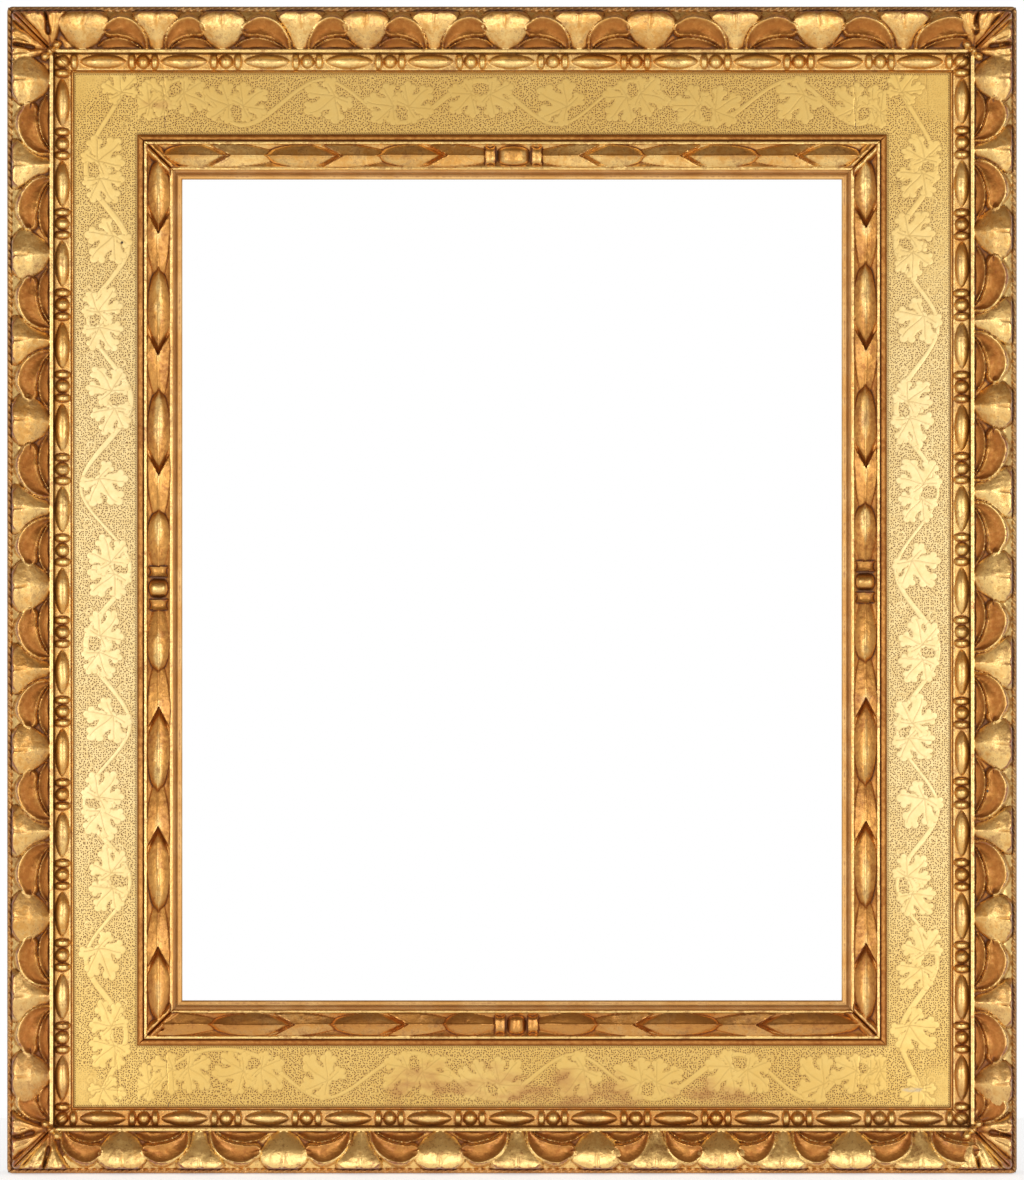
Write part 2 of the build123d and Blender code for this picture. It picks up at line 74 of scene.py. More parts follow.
def side_sizes(width, height):
    """For each side: its turn about the frame's centre, its distance from it, and its length."""
    level, upright = (height / 2, width), (width / 2, height)
    return {name: (turn, *(upright if turn % 180 else level)) for name, turn in turns.items()}


def to_side(along, across, rise, turn, out):
    """Bench places to the frame's own, in metres: (along, -rise, out - across) turned about the Y axis."""
    cos, sin = math.cos(math.radians(turn)), math.sin(math.radians(turn))
    up = out - across
    return np.stack([along * cos + up * sin, face_y - rise, up * cos - along * sin], axis=-1) * MM


outer_sides = side_sizes(outer_width, outer_height)
sight_sides = side_sizes(sight_width, sight_height)
print("boards' face at", round(face_y, 2), "sight mouldings", round(sight_width, 1), round(sight_height, 1))

# %% [markdown]
# ## Curves, steps and hand noise
# Carving has no straight ramps: a petal's width and height swell smoothly from place to place. A cubic
# through a few named places gives that. Nothing cut by hand is quite regular either, so a seeded noise of
# smooth lumps shifts edges and surfaces a little, the same on each run.


# %% Curves and steps
def flow(place, places, values):
    """A smooth curve through (places, values): cubic pieces, with the mean slope at each place."""
    places, values = np.asarray(places, float), np.asarray(values, float)
    slopes = np.gradient(values, places)
    place = np.clip(place, places[0], places[-1])
    i = np.clip(np.searchsorted(places, place, side="right") - 1, 0, len(places) - 2)
    step = places[i + 1] - places[i]
    t = (place - places[i]) / step
    near = (1 + 2 * t) * (1 - t) ** 2 * values[i] + t * (1 - t) ** 2 * step * slopes[i]
    far = t * t * (3 - 2 * t) * values[i + 1] + t * t * (t - 1) * step * slopes[i + 1]
    return near + far


def ease(value, low, high):
    """Smooth step: 0 at low, 1 at high, and 3t^2 - 2t^3 in between."""
    t = np.clip((value - low) / (high - low), 0, 1)
    return t * t * (3 - 2 * t)


def excess(value, limit=0.0):
    """How far a value is over a limit, and 0 below it."""
    return np.maximum(value - limit, 0)


def bell(value, middle, reach):
    """A smooth bump: 1 in its middle, and close to 0 from two reaches away."""
    return np.exp(-(((value - middle) / reach) ** 2))


def arch(share, power=2):
    """A half round: 1 in its middle, at 0, and 0 from 1 outwards. A higher power squares its shoulders."""
    return np.sqrt(excess(1 - share**power))


print("flow at its middle place", float(flow(0.5, (0, 0.5, 1), (1, 4, 2))))


# %% Hand noise
def lumps(x, y, size, seed):
    """Smooth noise from -1 to 1: random heights on a square lattice of one size, eased in between."""
    heights = np.random.default_rng(seed).uniform(-1, 1, (256, 256))
    x, y = np.asarray(x, float) / size, np.asarray(y, float) / size
    i, j = np.floor(x).astype(int), np.floor(y).astype(int)
    u, v = ease(x - i, 0, 1), ease(y - j, 0, 1)
    low = heights[i % 256, j % 256] * (1 - u) + heights[(i + 1) % 256, j % 256] * u
    high = heights[i % 256, (j + 1) % 256] * (1 - u) + heights[(i + 1) % 256, (j + 1) % 256] * u
    return low * (1 - v) + high * v


def waves(place, size, seed):
    """Smooth noise from -1 to 1 along one direction only."""
    return lumps(place, 0 * place, size, seed)


def blur(grid, reach):
    """The mean of a grid over a square of 2 x reach + 1 cells, from running sums."""
    for axis in (0, 1):
        pads = [(0, 0), (0, 0)]
        pads[axis] = (reach + 1, reach)
        sums = np.cumsum(np.pad(grid, pads, "edge"), axis)
        low = np.arange(grid.shape[axis])
        grid = (sums.take(low + 2 * reach + 1, axis) - sums.take(low, axis)) / (2 * reach + 1)
    return grid


print("noise at one place", round(float(lumps(2.5, 3.5, 4.0, 1)), 3))

# %% [markdown]
# ## From a grid to a closed piece
# A length of moulding is a grid of heights with walls down to its seat, a flat underside and two mitred
# ends. The grid could be a displaced plane, but then the walls and ends would be missing, so the sections
# are closed loops here. Two values go with each point: how deep it lies in the carving, where dirt and
# old toning gather, and how much it stands out, where the leaf rubs through to the red bole.


# %% Grids and wear
def mitred_grid(length, near, far, steps):
    """Along and across values of a mitred length: each row's ends lie on the two mitres."""
    across = np.linspace(near, far, int(round((far - near) / steps[1])) + 1)
    share = np.linspace(-1, 1, int(round(length / steps[0])) + 1)
    along = share[:, None] * (length / 2 - across)
    return along, np.broadcast_to(across, along.shape).copy()


def wear_values(rise, cell):
    """Depth and ridge, 0 to 1: how far a height is below and above its mean over small and wide squares."""
    narrow, wide = (blur(rise, int(round(reach / cell))) for reach in (0.8, 3.0))
    depth = ease(narrow - rise, 0.02, 0.55) * 0.6 + ease(wide - rise, 0.2, 2.8) * 0.7
    ridge = ease(rise - narrow, 0.05, 0.5) * 0.6 + ease(rise - wide, 0.5, 2.6) * 0.4
    return np.clip(depth, 0, 1), np.clip(ridge, 0, 1)


corner_radius, corner_fade = 3.2, 6.0


def round_corner(along, across, length):
    """Moves the rows near the mitres so that the outer corner follows a quarter circle."""
    end = length / 2 - np.abs(along[:, :1])
    turn = math.radians(45) * np.clip(1 - end / corner_radius, 0, 1)
    near_edge = np.clip(1 - across / corner_fade, 0, 1)
    shift = (corner_radius * (1 - np.sin(turn)) - np.minimum(end, corner_radius)) * near_edge
    return along - np.sign(along) * shift, across + corner_radius * (1 - np.cos(turn)) * near_edge


print("a grid of 100 by 10 mm has", mitred_grid(100, 0, 10, (1, 1))[0].size, "points")


# %% Closed pieces
def build_mesh(name, points, quads, caps, values):
    """A smooth mesh from points, four-sided faces and end loops, with float values per point."""
    mesh = bpy.data.meshes.new(name)
    mesh.vertices.add(len(points))
    mesh.vertices.foreach_set("co", points.astype(np.float32).ravel())
    loops = np.concatenate([quads.ravel()] + [np.asarray(cap) for cap in caps])
    sizes = np.concatenate([np.full(len(quads), 4), [len(cap) for cap in caps]]).astype(np.int32)
    mesh.loops.add(len(loops))
    mesh.loops.foreach_set("vertex_index", loops.astype(np.int32))
    mesh.polygons.add(len(sizes))
    mesh.polygons.foreach_set("loop_start", np.concatenate([[0], np.cumsum(sizes)[:-1]]).astype(np.int32))
    mesh.polygons.foreach_set("use_smooth", np.ones(len(sizes), bool))
    mesh.update(calc_edges=True)
    mesh.validate()
    mesh.set_sharp_from_angle(angle=math.radians(50))
    for key, value in values.items():
        attribute = mesh.attributes.new(key, "FLOAT", "POINT")
        attribute.data.foreach_set("value", value.astype(np.float32).ravel())
    piece = bpy.data.objects.new(name, mesh)
    bpy.context.scene.collection.objects.link(piece)
    return piece


def with_walls(grid, wall=None):
    """A grid with one more column on each side: a copy of its edge, or one given value."""
    first, last = grid[:, :1], grid[:, -1:]
    if wall is not None:
        first = last = np.full_like(first, wall)
    return np.concatenate([first, grid, last], 1)


def closed_length(name, along, across, rise, seat, turn, out, **values):
    """A closed piece from a grid of heights: each section is the grid's row and two points on the seat."""
    points = to_side(with_walls(along), with_walls(across), with_walls(rise, seat), turn, out)
    values = {key: with_walls(value) for key, value in values.items()}
    values["bare"] = with_walls(np.zeros_like(rise), 1.0)
    index = np.arange(values["bare"].size).reshape(values["bare"].shape)
    beside = np.roll(index, -1, 1)
    quads = np.stack([index[:-1], beside[:-1], beside[1:], index[1:]], -1).reshape(-1, 4)
    return build_mesh(name, points.reshape(-1, 3), quads, [index[0, ::-1], index[-1]], values)


pieces = {}


def put_in_place(piece, replaced=None):
    """The piece rides the frame's body, and replaces its CAD node if it has one."""
    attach(piece, "frame")
    if replaced:
        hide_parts(replaced)
    pieces[piece.name] = piece
    print(piece.name, "faces", len(piece.data.polygons))


# %% [markdown]
# ## The outer moulding
# A band of overlapping petals: broad bulbs, and fans that each open into a middle petal, two scooped
# lobes shaped like commas, and two small half-moons by the fillet. Every petal is its own height over
# the band, and the band shows the highest of them, as overlapping carved leaves do. The spacing was
# measured on the photograph, because the carver set it out by eye.

# %% Where the bulbs and fans stand
bulb_shares = {
    "top": (-0.424, -0.287, -0.144, -0.006, 0.138, 0.305),
    "right": (-0.439, -0.307, -0.158, -0.011, 0.132, 0.281, 0.423),
    "bottom": (-0.336, -0.207, -0.083, 0.072, 0.226, 0.387),
    "left": (-0.416, -0.280, -0.136, 0.004, 0.145, 0.288, 0.437),
}
fan_shares = {
    "top": (-0.352, -0.210, -0.077, 0.066, 0.222, 0.388),
    "right": (-0.377, -0.230, -0.085, 0.062, 0.206, 0.353),
    "bottom": (-0.405, -0.269, -0.143, -0.005, 0.150, 0.310),
    "left": (-0.348, -0.207, -0.068, 0.070, 0.214, 0.364),
}
leaf_start, leaf_end = 2.4, outer_band - outer_fillet
ground_places = (0, 3.2, 6.0, 11.0, 18.0, 25.3)
ground_rises = (7.2, 8.2, 10.0, 10.6, 8.6, 7.4)
petal_places = (0.0, 0.25, 0.50, 0.68, 0.86, 1.0)
print("bulbs", sum(map(len, bulb_shares.values())), "fans", sum(map(len, fan_shares.values())))


# %% One petal
fan_petal = ((5.2, 7.2, 10.2, 13.0, 15.4, 15.8), (9.8, 12.2, 15.0, 16.5, 17.2, 16.8), 0.9, 2.7)
bulb_petal = ((6.7, 10.6, 14.1, 14.9, 13.4, 10.8), (9.8, 13.4, 16.4, 17.4, 17.7, 17.0), 1.3, 2.6)
wall_slope = 2.6


def petal(offset, reach, widths, crest, dome, roof):
    """Height of a petal: its crest line less a roof and a dome across it, and steep past its edges.

    offset is the distance from its middle line, and reach runs from 0 at the fillet to 1 at the outer edge.
    A crease in the middle deepens towards the outer end, where it leaves a small nick.
    """
    width = flow(reach, petal_places, widths)
    q = np.abs(offset) / width
    inside = np.minimum(q, 1.1)
    ridge = np.hypot(inside, 0.07) - 0.07
    crease = 0.55 * bell(offset, 0, 0.85) * ease(reach, 0.42, 0.85)
    rise = flow(reach, petal_places, crest) - dome * inside**2.6 - roof * ridge - crease
    rise = rise - 2.8 * excess(q, 0.96) * width
    end = 1.02 - 0.045 * bell(offset, 0, 1.6) - 0.17 * ease(q, 0.60, 1.05)
    return rise - 30 * excess(reach, end) - 2.6 * ease(reach, end - 0.09, end)


def petal_toning(offset, reach):
    """Toning of a petal: darker near the fillet, light beside its middle, and dark in its crease."""
    near_middle, crease = bell(offset, 0, 3.0), bell(offset, 0, 0.8) * ease(reach, 0.3, 0.7)
    return 0.35 * ease(reach, 0.30, 0.0) - 0.12 - 0.15 * near_middle + 0.45 * crease


# %% One scooped lobe
def nearest_on(spine, x, y, count=56):
    """The nearest place of a smooth spine, from 0 to 1, and the signed distance to it, for each point."""
    knots, place = np.linspace(0, 1, len(spine)), np.linspace(0, 1, count)
    line_x, line_y = (flow(place, knots, [point[i] for point in spine]) for i in (0, 1))
    run_x, run_y = np.gradient(line_x), np.gradient(line_y)
    gaps = x[..., None] - line_x, y[..., None] - line_y
    nearest = np.argmin(gaps[0] ** 2 + gaps[1] ** 2, -1)
    gap_x, gap_y = (np.take_along_axis(gap, nearest[..., None], -1)[..., 0] for gap in gaps)
    side = np.sign(run_y[nearest] * gap_x - run_x[nearest] * gap_y)
    return place[nearest], side * np.hypot(gap_x, gap_y)


def scooped_lobe(x, y, spine, widths, crest, rim, tilt):
    """Height of a lobe along a spine: scooped in the middle, with a rim that stands up on its outer side.

    The toning that comes with it is dark in the scoop, partly glaze and partly painted shade, and light on
    the rim.
    """
    place, gap = nearest_on(spine, x, y)
    knots = np.linspace(0, 1, len(widths))
    width = flow(place, knots, widths)
    q = gap / width
    inside = np.clip(q, -1, 1)
    rise = flow(place, knots, crest) + tilt * inside + rim * inside**2 - 0.9 * ease(np.abs(q), 0.86, 1.0)
    # Dark in the scoop: glaze and painted shade.
    tone = 0.74 + 0.55 * (1 - inside**2) - 1.25 * ease(q, 0.66, 0.92) - 0.4 * ease(-q, 0.75, 0.95)
    return rise - wall_slope * excess(np.abs(q), 1.0) * width, tone


comma = (
    ((6.6, 25.2), (8.9, 19.9), (12.7, 15.8), (17.6, 13.1), (23.0, 12.2), (28.4, 13.6)),
    (0.8, 3.1, 4.9, 5.8, 5.9, 4.1),
    (8.8, 10.2, 11.9, 12.9, 13.0, 12.2),
    1.9,
    1.1,
)
half_moon = (
    ((10.6, 24.9), (16.0, 22.9), (23.0, 21.8), (30.0, 22.4), (35.0, 24.0)),
    (0.8, 2.1, 2.9, 2.6, 1.0),
    (7.6, 8.2, 9.0, 8.8, 8.0),
    0.9,
    1.5,
)
usual_spacing = 44.0


def fan_lobes(offset, across, spacing):
    """The comma and the half-moon on one side of a fan, stretched to the distance of the next bulb."""
    x = offset * usual_spacing / spacing
    (high, high_tone), (low, low_tone) = (scooped_lobe(x, across, *lobe) for lobe in (comma, half_moon))
    return np.maximum(high, low), np.where(high > low, high_tone, low_tone + 0.15)


def lay_over(rise, tone, near, form, form_tone):
    """Lays a form over what is there, in place: the higher of the two, with its toning."""
    over = form > rise[near]
    tone[near] = np.where(over, form_tone, tone[near])
    rise[near] = np.maximum(rise[near], form)


# %% The leaf on the corner
leaf_knot = 26.4
lobe_turns, lobe_half = (22.0, 50.0), 15.0
crease_turn = 36.0
leaf_bed = 7.8


def corner_leaf(end, across, hand):
    """Height of the leaf on the mitre: a double rib, and on each side two broad lobes with a crease between.

    All of them spread from the knot at the fillet's corner. The crease ends in a round eye, as a gouge leaves
    it, each lobe has a soft fold, and their outline is scalloped. hand is the noise that bends them.
    """
    inward = (2 * leaf_knot - end - across) / math.sqrt(2)
    beside = np.abs(end - across) / math.sqrt(2)
    radius = np.hypot(inward, beside)
    angle = np.degrees(np.arctan2(beside, inward)) + 3.5 * hand
    far, edge = np.maximum(end, across), np.minimum(end, across)
    crest = flow(radius, (0, 5, 12, 20, 27, 34), (9.8, 10.8, 13.4, 15.8, 16.8, 15.6))
    scallop = 3.0 + 1.6 * (1 - np.abs(np.sin(math.pi * far / 6.4 + 0.6 * hand)) ** 0.7)
    outline = 3.4 * excess(scallop, edge) + 0.6 * ease(scallop + 1.8 - edge, 0, 1.8)
    rise = np.full_like(across, leaf_bed + 0.2)
    for turn in lobe_turns:
        q = np.abs(angle - turn) / lobe_half
        past = excess(q, 1) * math.radians(lobe_half) * radius
        fold = 0.45 * bell(q, 0, 0.17) * ease(radius, 11, 17)
        lobe = crest - (0.5 + 0.075 * radius) * np.minimum(q, 1.0) ** 3 - fold - wall_slope * past - outline
        rise = np.maximum(rise, lobe)
    apart = radius * np.radians(angle - crease_turn)
    crease = 3.8 * bell(apart, 0, 0.8 + 0.8 * bell(radius, 12.5, 2.6)) * ease(radius, 8.8, 11.5)
    lip = 0.5 * bell(np.abs(apart), 2.1, 0.8) * ease(radius, 8.5, 12)
    rib = crest + 1.2 - 1.5 * np.abs(beside - 1.15) ** 1.6 - 3.0 * excess(4.2, edge)
    return np.maximum(np.maximum(rise - crease + lip, leaf_bed), np.where(radius > 4, rib, 0))


def leaf_collar(end, across):
    """Height of the leaf's collar: three beads over the fillet's corner, in a row across the mitre."""
    along_mitre = (end + across) / math.sqrt(2) - math.sqrt(2) * leaf_knot
    beside = (end - across) / math.sqrt(2)
    bead = beside - 5.0 * np.clip(np.round(beside / 5.0), -1, 1)
    round_off = 1 - (along_mitre / 2.5) ** 2 - (bead / 2.9) ** 2
    return np.where(round_off > 0, 8.8 + 4.2 * np.sqrt(excess(round_off)), 0)


# %% Carve the outer mouldings
rope_band, highest_carving = 3.2, 17.85
fan_room, leaf_room = 50.0, 27.0


def rope_edge(along, across):
    """Height of the thin twisted rope on the outer edge: a half round with slanting turns."""
    turn = np.sin(2 * math.pi * (along / 4.4 + across / 3.6))
    half_round = 1.6 * arch(across / 1.6 - 1)
    return 7.2 + half_round * (0.86 + 0.14 * turn) - 0.20 * (1 - turn) + 0.2 * lumps(along, across, 7.0, 3)


def lay_lobes(rise, tone, along, across, wobble, bulbs, fans, length):
    """Lays each fan's commas and half-moons up to the next bulb, and a pair in a wide gap by the corner."""
    for middle in fans:
        for sign in (-1, 1):
            beyond = [bulb for bulb in bulbs if (bulb - middle) * sign > 0] or [sign * (length / 2 - 10.0)]
            spacing = min(abs(bulb - middle) for bulb in beyond)
            offset = (along - middle) * sign + wobble
            near = (offset > 0) & (offset < spacing + 4)
            lay_over(rise, tone, near, *fan_lobes(offset[near], across[near], spacing))
    for sign in (-1, 1):
        last = max(bulbs + fans, key=lambda place: place * sign)
        gap = length / 2 - last * sign
        if last in bulbs and gap > fan_room:
            offset = length / 2 - leaf_room - along * sign + wobble
            near = (offset > 0) & (offset < gap)
            lay_over(rise, tone, near, *fan_lobes(offset[near], across[near], gap - leaf_room))


def lay_petals(rise, tone, along, across, wobble, middles, kind, hand):
    """Lays a row of petals of one kind, each a little fatter, steeper or more askew than the last."""
    widths, crest, dome, roof = kind
    reach = (leaf_end - across) / (leaf_end - leaf_start)
    for middle in middles:
        fat, steep, skew = hand.uniform((0.93, 0.8, -0.03), (1.06, 1.25, 0.03))
        offset = along - middle + wobble + skew * (across - outer_band)
        near = np.abs(offset) < usual_spacing / 2
        form = petal(offset[near], reach[near], np.array(widths) * fat, crest, dome, steep * roof)
        lay_over(rise, tone, near, form, petal_toning(offset[near], reach[near]))


def carve_outer(name, along, across, length):
    """The outer band's height and toning: ground, lobes, petals, corner leaves, rope and fillet."""
    seed = 11 + list(turns).index(name)
    hand = np.random.default_rng(seed)
    wobble = 0.8 * lumps(along, across, 15.0, seed)
    rise = flow(across, ground_places, ground_rises)
    tone = np.where(across < 11, -0.45, 0.35)
    bulbs = [share * length for share in bulb_shares[name]]
    fans = [share * length for share in fan_shares[name]]
    bench = rise, tone, along, across, wobble
    lay_lobes(*bench, bulbs, fans, length)
    lay_petals(*bench, fans, fan_petal, hand)
    lay_petals(*bench, bulbs, bulb_petal, hand)
    end = length / 2 - np.abs(along)
    near = (end < 40) & (end + across < 62)
    inward = np.hypot(leaf_end - end[near], leaf_end - across[near])
    bent = lumps(along, across, 8.0, seed + 50)[near]
    lay_over(rise, tone, near, corner_leaf(end[near], across[near], bent), 0.45 * ease(inward, 14, 3) - 0.1)
    rise = rise + 0.22 * lumps(along, across, 7.0, seed + 20) + 0.10 * lumps(along, across, 2.6, seed + 30)
    rise = np.where(across < rope_band, rope_edge(along, across), rise)
    fillet = 9.6 - 0.35 * ((across - outer_band + 1.1) / 1.1) ** 2
    rise = np.where(across > leaf_end, fillet + 0.06 * lumps(along, across, 6.0, seed + 40), rise)
    collar = leaf_collar(end, across)
    tone = np.where(collar > rise, -0.3, tone)
    mitre = 0.5 * bell(end, across, 0.3162)
    return np.minimum(np.maximum(rise, collar) - mitre, highest_carving), tone


# Painted shade per side: a tone added to each side's carving, darker on the top and lighter on the bottom,
# for how light falls on each side.
side_painted_shade = {"top": 0.1, "right": 0.0, "bottom": -0.45, "left": 0.02}
# Grey on the rope edge per side, heaviest on the top: real dust and also painted shade.
rope_dust_and_shade = {"top": 0.9, "right": 0.75, "bottom": 0.45, "left": 0.4}
for name, (turn, out, length) in outer_sides.items():
    along, across = mitred_grid(length, 0, outer_band, leaf_steps)
    rise, tone = carve_outer(name, along, across, length)
    depth, ridge = wear_values(rise, 0.5)
    depth = np.where(tone < -0.4, 0.4 * depth, depth)
    end = length / 2 - np.abs(along)
    on_collar = leaf_collar(end, across) > 9.6
    on_fillet = (across > leaf_end + 0.2) & ~on_collar
    # The side's tone shift added here is painted shade, and painted light where it is negative.
    tone = np.where(across < 3.1, 0.2, np.where(on_fillet, -0.9, tone + side_painted_shade[name]))
    by_knot = bell(np.hypot(end - leaf_knot, across - leaf_knot), 0, 7.0) * (across < leaf_end) * ~on_collar
    tone = tone + 0.3 * bell(across, outer_band, 0.6325) + 0.9 * by_knot
    ridge = ridge * np.where(on_collar, 0.2, 1.0)
    values = {"depth": depth, "ridge": ridge, "tone": tone, "dust": rope_dust_and_shade[name] * ease(across, 3.6, 2.6)}
    along, across = round_corner(along, across, length)
    piece = closed_length("leaf_band_" + name, along, across, rise, 0, turn, out, **values)
    put_in_place(piece, "outer_moulding_" + name)

# %% [markdown]
# ## The bead-and-reel course
# Real bead-and-reel is cut from a half-round strip: a bead, a reel on each side of it, and a long spindle
# up to the next reel. A turned form is one radius along its axis, so the height over the strip is the
# circle of that radius at each place. The strip's two edges stay flat beside it.

# %% Carve the bead-and-reel
bead_counts = {"top": 11, "right": 13, "bottom": 11, "left": 13}
bead_axis = outer_band + 5.2
edge_line = 38.0


def turned_radius(place, pitch):
    """Radius of the course at a distance from a bead's middle: a ball, a rounded reel, then a spindle."""
    place = np.abs(place)
    ball = 4.35 * arch(place / 4.2)
    reel = 4.7 * arch((place - 7.0) / 2.25, 4)
    spindle = 4.4 * excess(1 - (np.abs(pitch / 2 - place) / (pitch / 2 - 9.7)) ** 2.2) ** 0.75
    return np.maximum(np.maximum(ball, reel), np.where(place > 9.5, spindle, 0))


for name, (turn, out, length) in outer_sides.items():
    seed = 71 + turn
    along, across = mitred_grid(length, outer_band, outer_total, bead_steps)
    pitch = (length - 2 * bead_axis) / bead_counts[name]
    first = -length / 2 + bead_axis
    shift = 0.9 * waves(along, 40.0, seed % 50)
    place = (along + shift - first + pitch / 2) % pitch - pitch / 2
    radius = turned_radius(place, pitch) * (1 + 0.06 * lumps(along, across, 9.0, seed % 53))
    string = 1.7 + np.sqrt(excess(radius**2, (across - bead_axis) ** 2))
    strip = 2.6 - 0.7 * bell(across, outer_band, 0.5477) - 0.7 * bell(across, edge_line, 0.3464)
    strip = strip - 0.5 * ease(across, outer_total - 0.5, outer_total)
    rise = np.where(string > 1.75, np.maximum(string, strip), strip)
    rise = rise + 0.05 * lumps(along, across, 3.0, seed % 59)
    rise = rise - 0.35 * bell(length / 2 - np.abs(along), across, 0.2828)
    depth, ridge = wear_values(rise, 0.45)
    # The hollows' toning differs by side as painted shade: three quarters of it on the stiles, a quarter on
    # the rails.
    depth = (0.75 if turn % 180 else 0.25) * depth
    tone = 0.25 * bell(across, outer_band, 0.7071) + 1.0 * bell(across, edge_line, 0.4)
    tone = tone - 0.7 * ease(across, 36.9, 37.3) * (across < 37.7) - 0.4 * ease(rise, 5.0, 6.0)
    values = {"depth": depth, "ridge": 0.6 * ridge, "tone": tone}
    piece = closed_length("bead_course_" + name, along, across, rise, 0, turn, out, **values)
    put_in_place(piece, "bead_and_reel_" + name)

# %% [markdown]
# ## The sight moulding
# From the frieze inwards: a reed, a narrow fillet, a hollow with a chain of husks, and a second fillet.
# The husks run both ways from a clasp near the middle. Each one comes out of a calyx with a V-shaped
# mouth, and its tip lies over the next calyx. So the chain is again the highest of several forms.

# %% Where the husks lie
reed_end, band_start, band_end, sight_band = 4.2, 6.0, 19.6, 21.4
band_middle = (band_start + band_end) / 2
clasp_places = {"top": 0.002, "right": -0.009, "bottom": -0.006, "left": 0.002}
clasp_halves = {"top": 0.038, "right": 0.023, "bottom": 0.029, "left": 0.024}
tip_places = {
    "top": ((-0.178, -0.328), (0.177, 0.330)),
    "right": ((-0.095, -0.224, -0.358), (0.079, 0.214, 0.348)),
    "bottom": ((-0.114, -0.278), (0.091, 0.242, 0.403)),
    "left": ((-0.089, -0.220, -0.352), (0.087, 0.219, 0.352)),
}
calyx_first = {"top": True, "right": False, "bottom": False, "left": False}
calyx_length = 23.0
# Painted light on each side's husk chain: the first value darkens the whole band as painted shade, and the
# second lightens the crests as a painted highlight, darkening them as painted shade where it is negative.
chain_painted_light = {"top": (0.0, -0.3), "right": (0.7, 1.0), "bottom": (0.15, -0.3), "left": (0.7, 1.0)}
print("husks", sum(len(tips) + 1 for sides in tip_places.values() for tips in sides))


# %% Husks, calyxes and clasps
def husk(place, offset, start, tip):
    """Height of a husk from its start to its tip: an olive leaf like a low roof, with a fine middle ridge."""
    share = (place - start) / (tip - start)
    width = flow(share, (0, 0.3, 0.6, 0.84, 0.95, 1.0), (4.6, 6.2, 6.6, 5.0, 2.9, 0.5))
    q = np.abs(offset) / width
    inside = np.minimum(q, 1.1)
    crest = flow(share, (0, 0.35, 0.7, 0.92, 1.0), (5.0, 6.8, 7.9, 7.4, 6.4)) + 0.26 * bell(offset, 0, 0.55)
    rise = crest - 1.3 * inside**2.4 - 1.9 * inside - wall_slope * excess(q, 0.97) * width
    return np.where((share > -0.05) & (share < 1.02), rise, 0)


def calyx(place, offset, start, mouth):
    """Height of a calyx, two leaning faces with a ridge, and the distance past its V-shaped mouth."""
    share = (place - start) / (mouth - start)
    width = flow(share, (0, 0.4, 1.0, 1.6), (3.4, 5.4, 6.7, 6.4))
    q = np.abs(offset) / width
    past = place - mouth - 1.9 * np.abs(offset)
    rise = flow(share, (0, 0.5, 1.0, 1.6), (5.0, 6.4, 7.5, 6.9)) - 1.9 * np.minimum(q, 1.1)
    rise = rise - wall_slope * excess(q, 0.97) * width + 0.18 * bell(offset, 0, 0.55) - 3.4 * excess(past)
    return np.where((share > -0.02) & (past < 3), rise, 0), past


def clasp(place, offset, half):
    """Height of the clasp: a ball between two spools, each a drum that is narrower in its middle."""
    ball = 1.8 + 6.0 * np.sqrt(excess(1 - (place / (half - 7.4)) ** 2 - (offset / 5.9) ** 4))
    drum = np.abs(np.abs(place) - half + 3.2) / 3.0
    spool = 1.8 + 5.2 * arch(offset / (4.9 + 1.5 * drum**2), 4) * (drum < 1) * (0.86 + 0.14 * drum**2)
    return np.where(np.abs(place) < half, np.maximum(ball, spool), 0)


# %% The chain and the profile
tip_lap = 12.0


def husk_chain(place, offset, starts, tips, calyxes):
    """Height of half the chain, each husk's tip over the next calyx, and the dark of its notches."""
    chain, notch = np.zeros_like(place), np.zeros_like(place)
    husks = [(tip, husk(place, offset, start, tip)) for start, tip in zip(starts, tips)]
    for tip, form in husks:
        chain = np.maximum(chain, form)
    for start in calyxes:
        mouth = start + calyx_length - 2.0
        over, past = calyx(place, offset, start - 3.0, mouth)
        near = (place > start) & (place < mouth + 18)
        notch = np.maximum(notch, bell(past, 1.9, 2.1) * near)
        chain = chain - 1.6 * bell(past, 1.8, 2.5) * near
        chain = np.maximum(chain, np.where(place > start - 3.0, over, 0))
    for tip, form in husks:
        raised = form + 0.3 * ease(place, tip - tip_lap, tip - 4.0)
        chain = np.maximum(chain, np.where(place > tip - tip_lap, raised, 0))
    return chain, notch


def sight_profile(across):
    """The moulding as it is run: a reed with a fine groove by it, a fillet, a hollow and a second fillet."""
    reed = 2.1 + 2.1 * arch(across / 2.1 - 1) - 0.9 * bell(across, reed_end, 0.3464)
    fillet = 5.0 - 0.3 * (across - 5.1) ** 2
    hollow = 2.6 + 1.6 * (np.abs(across - band_middle) / 6.8) ** 3
    last_fillet = 4.0 - 0.35 * (across - 20.5) ** 2
    places = [across < reed_end, across < band_start, across <= band_end]
    return np.select(places, [reed, fillet, hollow], last_fillet)


